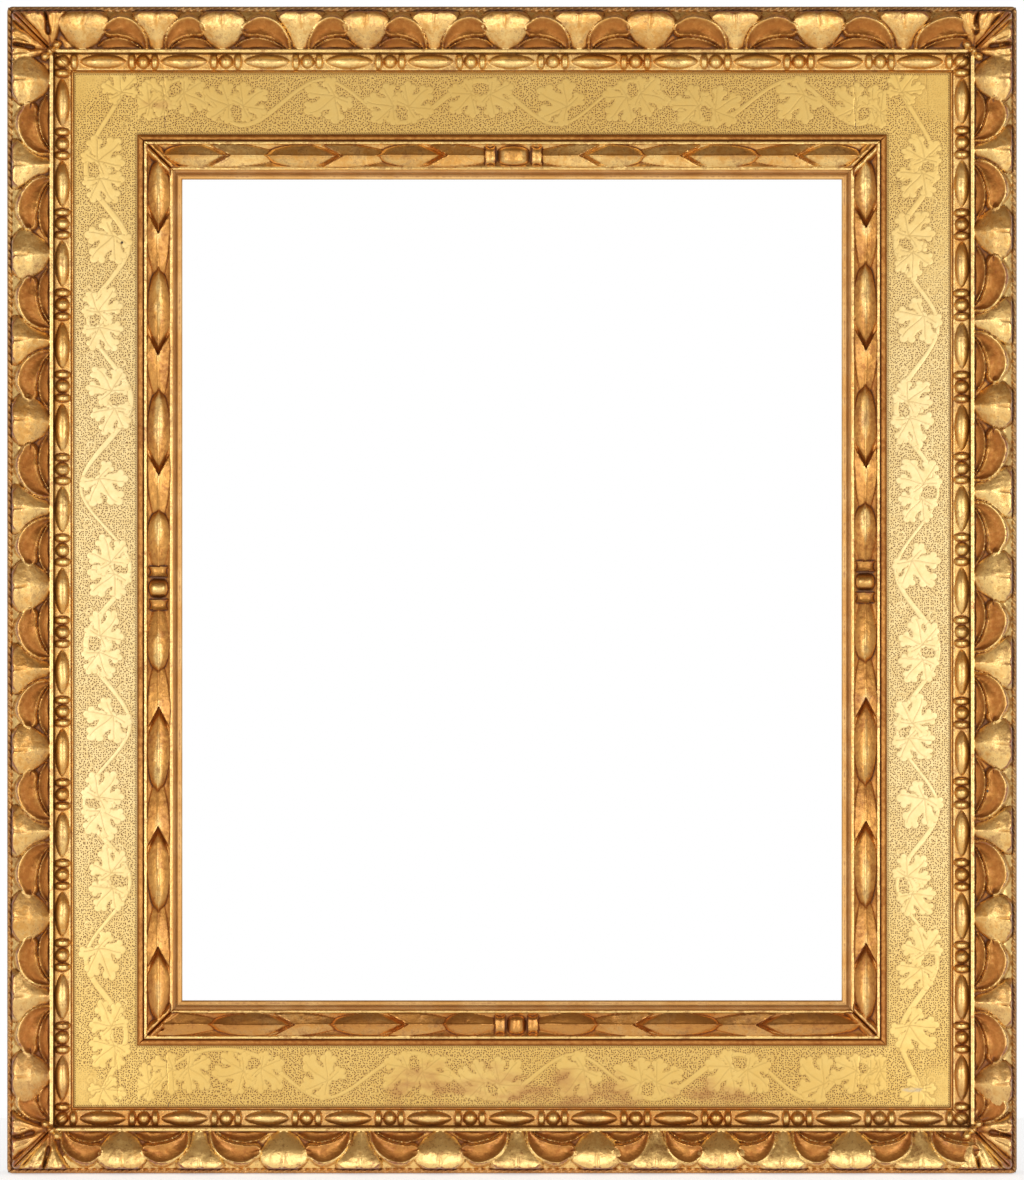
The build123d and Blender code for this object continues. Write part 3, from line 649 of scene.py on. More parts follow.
# %% Carve the sight mouldings
def carve_sight(name, along, across, length):
    """The sight moulding's height: profile, husks, clasp and corner ribs. And the dark of its notches."""
    seed = 151 + list(turns).index(name)
    offset = across - band_middle + 0.35 * waves(along, 23.0, seed)
    middle, half = clasp_places[name] * length, clasp_halves[name] * length
    rise = np.maximum(sight_profile(across), clasp(along - middle, offset, half))
    notch = np.zeros_like(rise)
    inside = (across > band_start + 0.1) & (across < band_end - 0.1)
    for sign, shares in zip((-1, 1), tip_places[name]):
        tips = [(share * length - middle) * sign for share in shares]
        starts, calyxes = [half - 1.0], list(tips)
        if calyx_first[name]:
            starts, calyxes = [half + calyx_length - 6.0], [half + 1.0] + calyxes
        starts = starts + [tip + calyx_length - 8.0 for tip in tips]
        tips = tips + [(length / 2 - band_middle) - middle * sign - 2.0]
        chain, dark = husk_chain((along - middle) * sign, offset, starts, tips, calyxes)
        rise, notch = np.where(inside, np.maximum(rise, chain), rise), np.maximum(notch, dark)
    end = length / 2 - np.abs(along)
    beside = np.abs(end - across) / math.sqrt(2)
    rib = 7.6 - 0.5 * (beside - 1.6) ** 2 - 0.9 * bell(beside, 0, 0.5477)
    rib = rib + 0.35 * np.cos((end + across) * 0.55)
    in_band = (across > band_start) & (across < band_end)
    rise = np.where(in_band & (beside < 6), np.maximum(rise, rib), rise)
    rise = rise + 0.13 * lumps(along, across, 5.0, seed + 9) + 0.06 * lumps(along, across, 2.0, seed + 19)
    return rise - 0.4 * bell(end, across, 0.2828), notch


for name, (turn, out, length) in sight_sides.items():
    along, across = mitred_grid(length, 0, sight_band, husk_steps)
    rise, notch = carve_sight(name, along, across, length)
    depth, ridge = wear_values(rise, 0.42)
    in_band = (across > band_start) & (across < band_end)
    notch = notch * in_band
    on_fillet = (across > reed_end + 0.3) & (across < band_start)
    tone = 0.92 * (across < reed_end) - 0.8 * on_fillet - 0.6 * (across > band_end + 0.2) - 0.1 * notch
    tone = tone + 0.9 * bell(across, sight_band, 0.5477)
    # Painted shade over the husk band, and a painted highlight on its crests.
    shade, crest_painted_light = chain_painted_light[name]
    tone = tone + (shade - crest_painted_light * ease(rise, 6.2, 7.8)) * in_band
    values = {"depth": depth - 0.6 * notch, "ridge": ridge, "tone": tone}
    piece = closed_length("husk_moulding_" + name, along, across, rise, 0, turn, out, **values)
    put_in_place(piece, "sight_moulding_" + name)

# %% [markdown]
# ## The sight slip
# A thin strip, tucked under the sight moulding, with a groove and a round bead right at the opening. It
# is one profile carried along a straight path, so a narrow grid is enough.

# %% Run the sight slips
board_reach, slip_reach, slip_thickness = 15.9, 26.8, 3.0
slip_profile = (
    (board_reach, sight_band - 0.1, sight_band + 0.2, 22.3, 23.2, 23.4, 24.2, 25.2, 26.1, 26.6, slip_reach),
    (0.0, 0.0, -0.35, -0.5, -0.35, 0.1, 0.7, 1.0, 0.8, 0.35, -0.2),
)
row = np.concatenate([[board_reach, 19.0], np.linspace(sight_band - 0.2, slip_reach, 34)])
for name, (turn, out, length) in sight_sides.items():
    share = np.linspace(-1, 1, int(length / 3.0))
    along = share[:, None] * (length / 2 - row)
    across = np.broadcast_to(row, along.shape).copy()
    rise = np.interp(across, *slip_profile) + 0.04 * lumps(along, across, 9.0, 301 + turn % 7)
    rise = np.where(across < sight_band, -0.02, rise)
    values = {"depth": ease(-rise, 0.1, 0.6), "ridge": ease(rise, 0.75, 1.0) * 0.6}
    piece = closed_length("slip_" + name, along, across, rise, -slip_thickness, turn, out, **values)
    put_in_place(piece, "sight_slip_" + name)

# %% [markdown]
# ## The frieze
# The flat boards carry gesso, red bole and burnished leaf. The gilder left a vine smooth and punched the
# ground round it with fine dots, so the vine reads as light on dull. The vine is drawn here as distances:
# to a winding stem, to leaves with five lobes, and to fine tendrils. The gesso skin is worked out with it,
# with the vine a few hundredths of a millimetre proud, and the same values go to the finish.

# %% Where the stem bends
stem_knots = {
    "left": ((92, 122), (170, 86), (245, 128), (318, 88), (400, 131), (488, 81), (567, 130), (642, 86),
             (725, 130), (803, 84), (880, 130), (958, 86), (1035, 126), (1088, 104)),
    "right": ((92, 902), (165, 936), (245, 896), (325, 938), (408, 896), (490, 938), (570, 896), (650, 938),
              (730, 897), (808, 938), (885, 897), (960, 937), (1035, 900), (1088, 920)),
    "top": ((150, 104), (175, 80), (238, 124), (325, 79), (400, 122), (481, 80), (557, 124), (635, 80),
            (706, 123), (794, 80), (862, 122), (880, 112)),
    "bottom": ((150, 1085), (180, 1060), (253, 1054), (318, 1097), (417, 1053), (493, 1098), (574, 1054),
               (650, 1098), (740, 1054), (814, 1098), (862, 1060), (880, 1070)),
}
frieze_middles = {"left": 105.7, "right": 916.6, "top": 100.8, "bottom": 1075.8}


def to_x(px):
    """A place across the photograph, in millimetres from the frame's centre."""
    return (np.asarray(px, float) - 512.0) * photo_pixel


def to_z(py):
    """A place down the photograph, in millimetres up from the frame's centre."""
    return (589.5 - np.asarray(py, float)) * photo_pixel


print("stem bends", {name: len(knots) for name, knots in stem_knots.items()})


# %% One vine leaf
leaf_lobes = ((0, 1.0, 1.0), (52, 0.84, 0.92), (-52, 0.84, 0.92), (108, 0.58, 0.78), (-108, 0.58, 0.78))
leaf_neck = ((0.06, 0.0, 0.17), (0.24, 0.0, 0.25), (0.40, 0.0, 0.20))
lobe_ends = ((0.40, 0, 0.17), (0.60, 0, 0.19), (0.86, 0.02, 0.13), (0.72, 0.18, 0.12), (0.74, -0.17, 0.115))
vein_turns = ((0.0, 0.86), (0.91, 0.70), (-0.91, 0.70), (1.88, 0.42), (-1.88, 0.42))
outside = -9.0


def turned(along, beside, heading):
    """Distances along and beside a heading, from distances along and beside the run."""
    cos, sin = math.cos(heading), math.sin(heading)
    return along * cos + beside * sin, beside * cos - along * sin


def lobe_discs():
    """Discs that make up a vine leaf of length 1: a neck and rounded ends for each of its five lobes."""
    discs = list(leaf_neck)
    for turn, reach, fat in leaf_lobes:
        for along, side, radius in lobe_ends:
            x, y = turned(along * reach, side * fat, -math.radians(turn))
            discs.append((x, y, radius * fat))
    return discs


leaf_discs = lobe_discs()


def leaf_shape(x, y, size, sway):
    """Inside-ness of a vine leaf, in mm, and the distance to its nearest vein.

    It is the union of its discs. Its stalk joins it at (0, 0) and its tip points along +X, bent by sway.
    """
    y = y - sway * (x / size) ** 2 * size
    leaf = np.full_like(x, -99.0)
    for middle_x, middle_y, radius in leaf_discs:
        leaf = np.maximum(leaf, (radius - np.hypot(x / size - middle_x, y / size - middle_y)) * size)
    radius, angle = np.hypot(x, y), np.arctan2(y, x)
    veins = np.full_like(x, 9.0)
    for turn, reach in vein_turns:
        apart = angle - turn - 0.16 * np.sin(3.0 * radius / size)
        away = np.abs(radius * np.sin(apart)) + 9.0 * (radius > reach * size) + 9.0 * (np.cos(apart) < 0)
        veins = np.minimum(veins, away)
    return leaf, veins


# %% Stalks, curls and the whole vine
def stalk(place, offset, route):
    """Inside-ness of a stalk that narrows along a smooth route of points."""
    spot, gap = nearest_on(route, place, offset, 40)
    ends = (spot > 0.001) & (spot < 0.999)
    return np.where(ends, 0.9 * (1 - 0.5 * spot) - np.abs(gap), outside)


def curl(place, offset, hand):
    """Inside-ness of a tendril's curl: a fine line on one turn of a spiral. hand is 1 or -1."""
    radius, angle = np.hypot(place, offset), np.arctan2(offset, place)
    wound = 3.4 * (0.30 + 0.70 * ((angle * hand + math.pi) / (2 * math.pi)))
    return np.where(radius < 4.6, 0.42 - np.abs(radius - wound), outside)


def frieze_vine(name, x, z):
    """The vine on one side: how far inside it each point lies, in mm, and how close to a cut line."""
    knots = stem_knots[name]
    first, second = [knot[0] for knot in knots], [knot[1] for knot in knots]
    if name in ("left", "right"):
        run, cross, place, offset = to_z(first[::-1]), to_x(second[::-1]), z, x
        middle = float(to_x(frieze_middles[name]))
    else:
        run, cross, place, offset = to_x(first), to_z(second), x, z
        middle = float(to_z(frieze_middles[name]))
    slope = flow(place + 0.5, run, cross) - flow(place - 0.5, run, cross)
    gap = np.abs(offset - flow(place, run, cross)) / np.sqrt(1 + slope**2)
    thick = 1.45 + 0.45 * waves(place, 30.0, 7)
    inside = np.where((place > run[0]) & (place < run[-1]), thick - gap, outside)
    line = np.abs(gap - thick)
    rng = np.random.default_rng(len(name))
    for k in range(1, len(run) - 1):
        bend = np.sign(middle - cross[k])
        alone = (k + len(name)) % 3 == 0
        for sign in (-1, 1):
            heading = math.atan2(bend * rng.uniform(0.25, 0.9), sign)
            size = rng.uniform(17.0, 19.5)
            root_place = run[k] + sign * rng.uniform(3.0, 6.0)
            root_offset = middle + bend * rng.uniform(-5.5, -2.5)
            if alone and sign > 0:
                continue
            if alone:
                heading, size, root_place = math.atan2(0.8 * bend, -1), 21.0, run[k] + 6.0
            near = (np.abs(place - root_place) < 26) & (np.abs(offset - root_offset) < 24)
            u, v = turned((place - root_place)[near], (offset - root_offset)[near], heading)
            leaf, veins = leaf_shape(u, v, size, rng.uniform(-0.22, 0.22))
            under, edge = inside[near], np.abs(leaf)
            new_line = np.minimum(np.where(leaf > 0, veins, line[near]), edge)
            line[near] = np.where((leaf > 0) | (under < 0), new_line, line[near])
            inside[near] = np.maximum(under, leaf)
            start = run[k] + sign * 13.0
            between = (run[k] + sign * 6.0, (cross[k] * 1.3 + root_offset * 0.7) / 2 + bend)
            route = ((start, float(flow(start, run, cross))), between, (root_place, root_offset))
            near = (np.abs(place - run[k]) < 16) & (inside < 0.9)
            inside[near] = np.maximum(inside[near], stalk(place[near], offset[near], route))
            curl_place = place - run[k] - sign * 27.0
            curl_offset = offset - middle - bend * rng.uniform(8.0, 11.0)
            near = np.hypot(curl_place, curl_offset) < 7
            inside[near] = np.maximum(inside[near], curl(curl_place[near], curl_offset[near], sign * bend))
    for k, sign in ((0, -1), (len(run) - 1, 1)):
        u, v = turned((place - run[k]) * sign, offset - cross[k], 0.35 * np.sign(middle - cross[k]))
        leaf, veins = leaf_shape(u, v, 16.5, 0.15)
        line = np.minimum(np.where(leaf > 0, veins, line), np.abs(leaf))
        inside = np.maximum(inside, leaf)
    return inside, line


print("discs in a leaf", len(leaf_discs))

# %% Cracks and the gesso's fields
joint_lines = [((px, top), (px + 2, low)) for px, top, low in
               ((163, 70, 132), (854, 70, 132), (166, 1045, 1107), (859, 1045, 1107))]
fine_cracks = [((117, 1052), (119, 1106)), ((926, 74), (928, 122)), ((926, 1050), (925, 1104)),
               ((886, 180), (912, 181)), ((90, 879), (122, 881)), ((890, 186), (905, 178))]
cracks = [(*ends, 1.0) for ends in joint_lines] + [(*ends, 0.6) for ends in fine_cracks]
sight_x, sight_z = sight_width / 2, sight_height / 2
field_x, field_z = outer_width / 2 - outer_total, outer_height / 2 - outer_total
fields = {
    "left": (-field_x, -sight_x, -field_z, field_z),
    "right": (sight_x, field_x, -field_z, field_z),
    "top": (-sight_x, sight_x, sight_z, field_z),
    "bottom": (-sight_x, sight_x, -field_z, -sight_z),
}
field_step = 0.53
gesso_top, gesso_floor = 0.15, -0.15


def crack(x, z, start, end, seed):
    """Closeness to a fine wandering crack between two points: 1 on it, 0 past a third of a millimetre."""
    way_x, way_z = end[0] - start[0], end[1] - start[1]
    run = math.hypot(way_x, way_z)
    along = ((x - start[0]) * way_x + (z - start[1]) * way_z) / run
    off = ((x - start[0]) * way_z - (z - start[1]) * way_x) / run
    off = off + 0.5 * waves(along, 4.0, seed) + 0.2 * waves(along, 1.1, seed + 1)
    return np.where((along > 0) & (along < run), bell(off, 0, 0.2236), 0)


def closed_skin(name, x, z, rise, **values):
    """A closed skin from a grid of heights on the frame's front, with walls down to the gesso's floor."""
    index = np.arange(x.size).reshape(x.shape)
    corners = np.stack([x, face_y - rise, z], -1) * MM
    below = np.stack([x, np.full_like(x, face_y - gesso_floor), z], -1) * MM
    quads = np.stack([index[:-1, :-1], index[:-1, 1:], index[1:, 1:], index[1:, :-1]], -1).reshape(-1, 4)
    ring = np.concatenate([index[0, :-1], index[:-1, -1], index[-1, :0:-1], index[:0:-1, 0]])
    below_ring = np.arange(len(ring)) + x.size
    walls = np.stack([below_ring, np.roll(below_ring, -1), np.roll(ring, -1), ring], -1)
    points = np.concatenate([corners.reshape(-1, 3), below.reshape(-1, 3)[ring]])
    values = {key: np.concatenate([v.ravel(), v.ravel()[ring]]) for key, v in values.items()}
    return build_mesh(name, points, np.concatenate([quads, walls]), [below_ring[::-1]], values)


# %% Lay the gesso and draw the vine
for name, (low_x, high_x, low_z, high_z) in fields.items():
    columns, rows = int((high_x - low_x) / field_step) + 1, int((high_z - low_z) / field_step) + 1
    z, x = np.meshgrid(np.linspace(low_z, high_z, rows), np.linspace(low_x, high_x, columns), indexing="ij")
    inside, line = frieze_vine(name, x, z)
    smooth = ease(inside, -0.22, 0.30)
    cut = bell(line, 0, 0.32) * (inside > -0.6)
    split = np.zeros_like(x)
    for i, (start, end, weight) in enumerate(cracks):
        ends = [(to_x(px), to_z(py)) for px, py in (start, end)]
        split = np.maximum(split, weight * crack(x, z, *ends, 400 + 3 * i))
    to_edge = np.minimum(field_x - np.abs(x), field_z - np.abs(z))
    to_sight = np.maximum(np.abs(x) - sight_x, np.abs(z) - sight_z)
    near_vine = np.exp(-excess(-inside) / 1.6) * (1 - smooth)
    rise = gesso_top + 0.025 * smooth - 0.02 * cut - 0.22 * split + 0.05 * lumps(x, z, 14.0, 500)
    values = {"smooth": smooth, "cut": np.clip(0.7 * cut + split, 0, 1), "near_vine": near_vine}
    piece = closed_skin("frieze_gilding_" + name, x, z, rise, rim=np.minimum(to_edge, to_sight), **values)
    put_in_place(piece)

# %% [markdown]
# ## Sockets as numbers
# A finish is a formula on masks, and formulas are easier to read as Python than as a net of nodes. So a
# small class wraps a node's output: adding or multiplying two of them adds the Math node. Colours are
# mixed by a Mix node instead, because a Math node would turn them grey.


# %% Sockets as numbers
class Value:
    """A shader socket that carries a number, with the arithmetic that the finishes use."""

    def __init__(self, net, socket):
        self.net, self.socket = net, socket

    def math(self, operation, *others):
        return self.net.node("ShaderNodeMath", {"operation": operation}, dict(enumerate((self, *others))))

    def __rsub__(self, other):
        return self.net.node("ShaderNodeMath", {"operation": "SUBTRACT"}, {0: other, 1: self})

    __add__ = __radd__ = partialmethod(math, "ADD")
    __mul__ = __rmul__ = partialmethod(math, "MULTIPLY")
    __sub__, __abs__ = partialmethod(math, "SUBTRACT"), partialmethod(math, "ABSOLUTE")
    larger, fraction = partialmethod(math, "MAXIMUM"), partialmethod(math, "FRACT")

    def step(self, low, high, to_low=0.0, to_high=1.0):
        """0 at low and 1 at high, or the two given values, eased in between."""
        inputs = {"Value": self, "From Min": low, "From Max": high, "To Min": to_low, "To Max": to_high}
        return self.net.node("ShaderNodeMapRange", {"interpolation_type": "SMOOTHSTEP"}, inputs)


class Net:
    """A net of shader nodes in the making: all of its nodes come from one method."""

    def __init__(self, tree):
        self.tree = tree

    def feed(self, socket, value):
        """Links a value to a socket, or sets a plain one on it."""
        if isinstance(value, Value):
            self.tree.links.new(value.socket, socket)
        else:
            socket.default_value = value

    def node(self, kind, settings, inputs, output=0):
        """Adds a node: its settings first, then its sockets' values or links. Returns one output."""
        made = self.tree.nodes.new(kind)
        for key, value in settings.items():
            setattr(made, key, value)
        for key, value in inputs.items():
            self.feed(made.inputs[key], value)
        return Value(self, made.outputs[output])

    def ray(self, kind):
        return self.node("ShaderNodeLightPath", {}, {}, kind)

    def blend(self, factor, low, high):
        """A colour between two colours, each a link or three numbers."""
        low, high = (color if isinstance(color, Value) else (*color, 1.0) for color in (low, high))
        return self.node("ShaderNodeMix", {"data_type": "RGBA"}, {0: factor, 6: low, 7: high}, 2)

    def coats(self, color, *layers):
        """A colour with one coat after another over it, each a factor and a colour."""
        for factor, over in layers:
            color = self.blend(factor, color, over)
        return color


# %% A finish in the making
class Finish(Net):
    """A material whose nodes read Object coordinates and attributes, and feed one Principled shader."""

    def __init__(self, name):
        self.material = bpy.data.materials.new(name)
        self.material.use_nodes = True
        super().__init__(self.material.node_tree)
        self.shader = self.tree.nodes["Principled BSDF"]
        self.place = self.node("ShaderNodeTexCoord", {}, {}, "Object")
        self.x, self.z = (self.node("ShaderNodeSeparateXYZ", {}, {0: self.place}, i) for i in (0, 2))

    def attributes(self, *names):
        return [self.node("ShaderNodeAttribute", {"attribute_name": name}, {}, "Fac") for name in names]

    def stretched(self, x, y, z):
        """Object coordinates, scaled along each axis."""
        return self.node("ShaderNodeVectorMath", {"operation": "MULTIPLY"}, {0: self.place, 1: (x, y, z)})

    def noise(self, scale, detail=3.0, place=None, roughness=0.55):
        inputs = {"Vector": place or self.place, "Scale": scale, "Detail": detail, "Roughness": roughness}
        return self.node("ShaderNodeTexNoise", {}, inputs, "Fac")

    def cells(self, scale):
        """Distance to the nearest of many scattered points, in the solid."""
        return self.node("ShaderNodeTexVoronoi", {}, {"Vector": self.place, "Scale": scale}, "Distance")

    def dots(self, scale, randomness):
        """Distance to the nearest of many scattered points on the front, one in each square cell."""
        front = self.node("ShaderNodeCombineXYZ", {}, {0: self.x, 1: self.z})
        inputs = {"Vector": front, "Scale": scale, "Randomness": randomness}
        return self.node("ShaderNodeTexVoronoi", {"voronoi_dimensions": "2D"}, inputs, "Distance")

    def near(self, x, z, reach, strength=1.0, start=0.0, flat=1.0):
        """A spot on the frame's front: its strength up to start, 0 from reach, and flattened along Z."""
        inputs = {0: self.stretched(1, 0, flat), 1: (x, 0, z * flat)}
        distance = self.node("ShaderNodeVectorMath", {"operation": "DISTANCE"}, inputs, "Value")
        return distance.step(start, reach, strength, 0.0)

    def finish(self, bump, depth, **results):
        """Bumps the surface by a height, sets the shader's other sockets, and returns the material."""
        inputs = {"Height": bump, "Distance": depth, "Strength": 1.0}
        self.feed(self.shader.inputs["Normal"], self.node("ShaderNodeBump", {}, inputs, "Normal"))
        for key, value in results.items():
            self.feed(self.shader.inputs[key.replace("_", " ").title()], value)
        return self.material


def wear(material, *names):
    """Gives a finish to pieces or to CAD nodes."""
    for name in names:
        target = pieces.get(name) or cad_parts[name]
        target.data.materials.clear()
        target.data.materials.append(material)


worm_hole = (0.03, 0.015, 0.008)
print("finishes are ready to be mixed")

# %% [markdown]
# ## Carved gilding
# Water gilding is leaf a few atoms thick over a red clay, burnished on the high places and toned with
# brown glaze, which stays in the hollows. So the colour runs from pale gold on the rubbed crests to
# orange gold and dark brown in the depths, with red bole where an edge has worn through. The leaf is
# metal, and the glaze, bole and dust over it are not, so the same masks lower the metal value. The tone
# value also carries painted shade and painted highlights that differ from side to side, and the grey on
# the rope edge is dust and painted shade. The side walls never had leaf, only a brown wash.


# %% Mix the carved gilding
pale_gold, warm_gold, toned_gold = (0.89, 0.62, 0.225), (0.64, 0.312, 0.065), (0.335, 0.113, 0.021)
old_glaze, red_bole, copper_light = (0.130, 0.046, 0.013), (0.34, 0.070, 0.022), (0.43, 0.143, 0.035)
# The grey for the rope edge stands for dust and for painted shade.
dust_and_shade_grey, bare_wood = (0.20, 0.112, 0.060), (0.15, 0.075, 0.032)


def carved_gilding():
    mix = Finish("carved_gilding")
    depth, ridge, tone, dust, bare = mix.attributes("depth", "ridge", "tone", "dust", "bare")
    patches, broad = mix.noise(11.0, 1.0) - 0.5, mix.noise(38.0) - 0.5
    mottled, fine = mix.noise(150.0, 5.0, None, 0.7) - 0.5, mix.noise(420.0, 4.0) - 0.5
    grain = mix.noise(1500.0, 2.0) - 0.5
    # tone carries glaze, and also the painted shade and painted highlights that differ from side to side.
    clean = (patches * 0.6 + broad * 0.5 + mottled * 0.6 + fine * 0.5 - tone * 0.40).step(-0.17, 0.23)
    deep = (depth + fine * 0.5 + broad * 0.3 + tone * 0.40).step(0.05, 0.62)
    deepest = (depth + fine * 0.35 + tone * 0.22).step(0.45, 1.0)
    low = mix.z.step(-0.250, -0.225, 1.0, 0.0) * tone.step(-0.5, 0.0)
    stains = (mottled + fine * 0.8 + broad * 0.5).step(0.0, 0.22)
    grime = (mix.noise(760.0, 3.0) + mottled * 0.6).step(0.56, 0.70)
    rubbed = (ridge + fine + broad * 0.9).step(0.62, 0.98)
    specks = (mix.noise(900.0, 2.0) + broad * 0.5).step(0.70, 0.78)
    bole = (rubbed * 0.8).larger(specks * 0.45)
    # dust is the grey on the rope edge: real dust, and painted shade where it is heaviest on the top.
    dust = dust * (fine + mottled * 0.6).step(-0.35, 0.15, 1.0, 0.55)
    walls = bare.step(0.1, 0.8)
    hole = mix.near(0.2844, -0.1203, 0.0010, 1.0, 0.0005)
    color = mix.coats(
        mix.blend(clean, warm_gold, pale_gold),
        (deep * 0.9, toned_gold),
        (deepest * 0.92, old_glaze),
        (low * (0.30 + mottled * 0.8), copper_light),
        (stains * 0.5, toned_gold),
        (grime * 0.42, toned_gold),
        (bole, red_bole),
        (dust * 0.85, dust_and_shade_grey),
        (walls * 0.85, bare_wood),
        (hole, worm_hole),
    )
    leaf = (1.0 - walls) * (1.0 - dust * 0.7) * (1.0 - hole)
    metallic = (0.9 - (bole * 0.7).larger(deepest * 0.6)) * leaf
    roughness = 0.38 - ridge * 0.10 + deep * 0.14 + bole * 0.2 + grain * 0.16 + broad * 0.14
    shellac = (1.0 - deep) * 0.4 * (1.0 - dust)
    height = mottled * 0.8 + fine * 0.5 + grain * 0.2 - bole * 0.2
    return mix.finish(height, 0.00036, base_color=color, metallic=metallic, roughness=roughness,
                      coat_weight=shellac, coat_roughness=0.28)


gilding = carved_gilding()
for name in turns:
    wear(gilding, "leaf_band_" + name, "bead_course_" + name, "husk_moulding_" + name)
print("carved gilding on", 3 * len(turns), "pieces")

# %% [markdown]
# ## Burnished and punched gilding
# On the frieze the leaf is bright and even, but for painted light: the rails' gold is mixed darker as
# painted shade, and the middle height of each stile paler as a painted reflection. The ground's dots are
# about
# 1.3 mm apart, too many for the mesh, so they are the cells of a Voronoi pattern, which sink the normal and
# darken the colour only where the ground value says so. The red bole shows through in a few worn patches, as
# on the photograph.


# %% Mix the frieze gilding
burnished_gold, bright_gold, rail_shade_gold = (0.77, 0.525, 0.155), (0.84, 0.605, 0.205), (0.63, 0.42, 0.130)
stile_reflection_gold, thin_leaf, ground_gold = (0.90, 0.77, 0.45), (0.66, 0.40, 0.09), (0.58, 0.35, 0.09)
vine_shade, punch_dark, line_dark = (0.40, 0.21, 0.055), (0.22, 0.090, 0.024), (0.27, 0.14, 0.036)
rim_dark, pale_bole, scuffed_gesso = (0.24, 0.085, 0.025), (0.54, 0.225, 0.070), (0.80, 0.68, 0.50)
worn_places = (
    (0.034, -0.300, 0.075, 1.0),
    (-0.045, -0.297, 0.085, 0.7),
    (0.120, -0.302, 0.060, 0.6),
    (-0.213, 0.290, 0.022, 0.5),
    (0.252, -0.285, 0.020, 0.3),
)


def frieze_gilding():
    mix = Finish("frieze_gilding")
    smooth, cut, rim, near_vine = mix.attributes("smooth", "cut", "rim", "near_vine")
    broad, fine, ragged = mix.noise(14.0, 2.0), mix.noise(260.0, 4.0), mix.noise(2600.0, 1.0)
    aside, upward, ground = abs(mix.x), abs(mix.z), 1.0 - smooth
    dots = (mix.dots(745.0, 0.74) + (ragged - 0.5) * 0.10).step(0.19, 0.33, 1.0, 0.0)
    turns_in = ((mix.x + mix.z) * 720.0).fraction().step(0.30, 0.60)
    rows = (rim * 0.77).fraction().step(0.25, 0.55) * rim.step(1.3, 1.7, 1.0, 0.0) * rim.step(0.5, 0.9)
    corner_rub = (aside.step(0.215, 0.262) * upward.step(0.262, 0.309)).step(0.1, 0.9)
    upper_right = mix.x.step(0.205, 0.225) * mix.z.step(-0.02, 0.22)
    rubbed = (corner_rub + upper_right * 0.4 + (broad - 0.5) * 1.5 + (fine - 0.5)).step(0.35, 0.9)
    punched = (ground * rim.step(1.3, 1.8) * dots * (1.0 - rubbed * 0.8)).larger(turns_in * rows)
    # Painted light on the frieze: level marks the rails, mixed darker as painted shade, and upright marks the
    # middle height of the stiles, mixed paler as a painted reflection.
    level = aside.step(0.19, 0.235, 1.0, 0.0)
    upright = (1.0 - level) * upward.step(0.10, 0.30, 1.0, 0.0)
    worn = 0.0
    for x, z, reach, strength in worn_places:
        worn = mix.near(x, z, reach, strength, flat=3.2).larger(worn)
    patchy = mix.noise(1.0, 5.0, mix.stretched(50, 50, 110), 0.6)
    bole = (patchy * 0.9 + worn * 0.30).step(0.50, 0.92) * worn.step(0.0, 0.35)
    scuff = mix.near(0.2405, -0.300, 0.009, 1.0, 0.003, 5.0) * fine.step(0.42, 0.60)
    hole = mix.near(-0.234, 0.2085, 0.0009, 1.0, 0.0005)
    color = mix.coats(
        mix.blend(broad.step(0.3, 0.7), burnished_gold, bright_gold),
        (level * 0.5, rail_shade_gold),
        (upright * 0.65, stile_reflection_gold),
        ((fine - 0.36) * 0.7, thin_leaf),
        (ground * 0.14, ground_gold),
        (near_vine * 0.18, vine_shade),
        (punched * 0.95, punch_dark),
        (cut * (0.65 - level * 0.2), line_dark),
        (rim.step(0.0, 0.9, 0.75, 0.0), rim_dark),
        (bole * 0.75, pale_bole),
        (scuff * 0.5, scuffed_gesso),
        (hole, worm_hole),
    )
    metallic = (0.95 - (bole * 0.6).larger(punched * 0.5)) * (1.0 - hole.larger(scuff * 0.7))
    roughness = 0.44 + ground * 0.08 + bole * 0.2 + (fine - 0.5) * 0.14
    height = fine * 0.3 - punched * 0.5 - cut * 0.3 - hole * 2.0
    return mix.finish(height, 0.00012, base_color=color, metallic=metallic, roughness=roughness)


wear(frieze_gilding(), *("frieze_gilding_" + name for name in turns))
print("frieze gilding on", len(turns), "skins")


# %% Mix the slips' gilding
def slip_gilding():
    mix = Finish("slip_gilding")
    depth, ridge, bare = mix.attributes("depth", "ridge", "bare")
    fine, broad = mix.noise(500.0, 4.0), mix.noise(60.0)
    rub = (ridge + (fine - 0.5) * 1.2 + (broad - 0.5)).step(0.35, 0.9)
    grooves = (depth + (fine - 0.5) * 0.3).step(0.2, 0.9)
    hidden = bare.step(0.3, 0.7)
    wood = mix.blend(mix.noise(300.0, 4.0).step(0.3, 0.7), (0.20, 0.115, 0.055), (0.36, 0.23, 0.125))
    color = mix.coats(
        mix.blend(broad.step(0.35, 0.7), (0.73, 0.39, 0.118), (0.86, 0.54, 0.21)),
        (grooves * 0.65, (0.34, 0.135, 0.042)),
        (rub * 0.6, (0.42, 0.12, 0.035)),
        (hidden, wood),
    )
    metallic = (0.8 - rub * 0.5) * (1.0 - hidden)
    return mix.finish(fine, 0.0001, base_color=color, metallic=metallic, roughness=0.48 + fine * 0.12)


wear(slip_gilding(), *("slip_" + name for name in turns))
print("slip gilding on", len(turns), "slips")

# %% [markdown]
# ## Old wood, iron and brass
# The back was never gilded: it is bare poplar, browned by age, with grain along each board, darker
# flecks and a few worm holes. The nails are rusted iron, the screws dull steel, and the straps, rings
# and buttons tarnished brass.


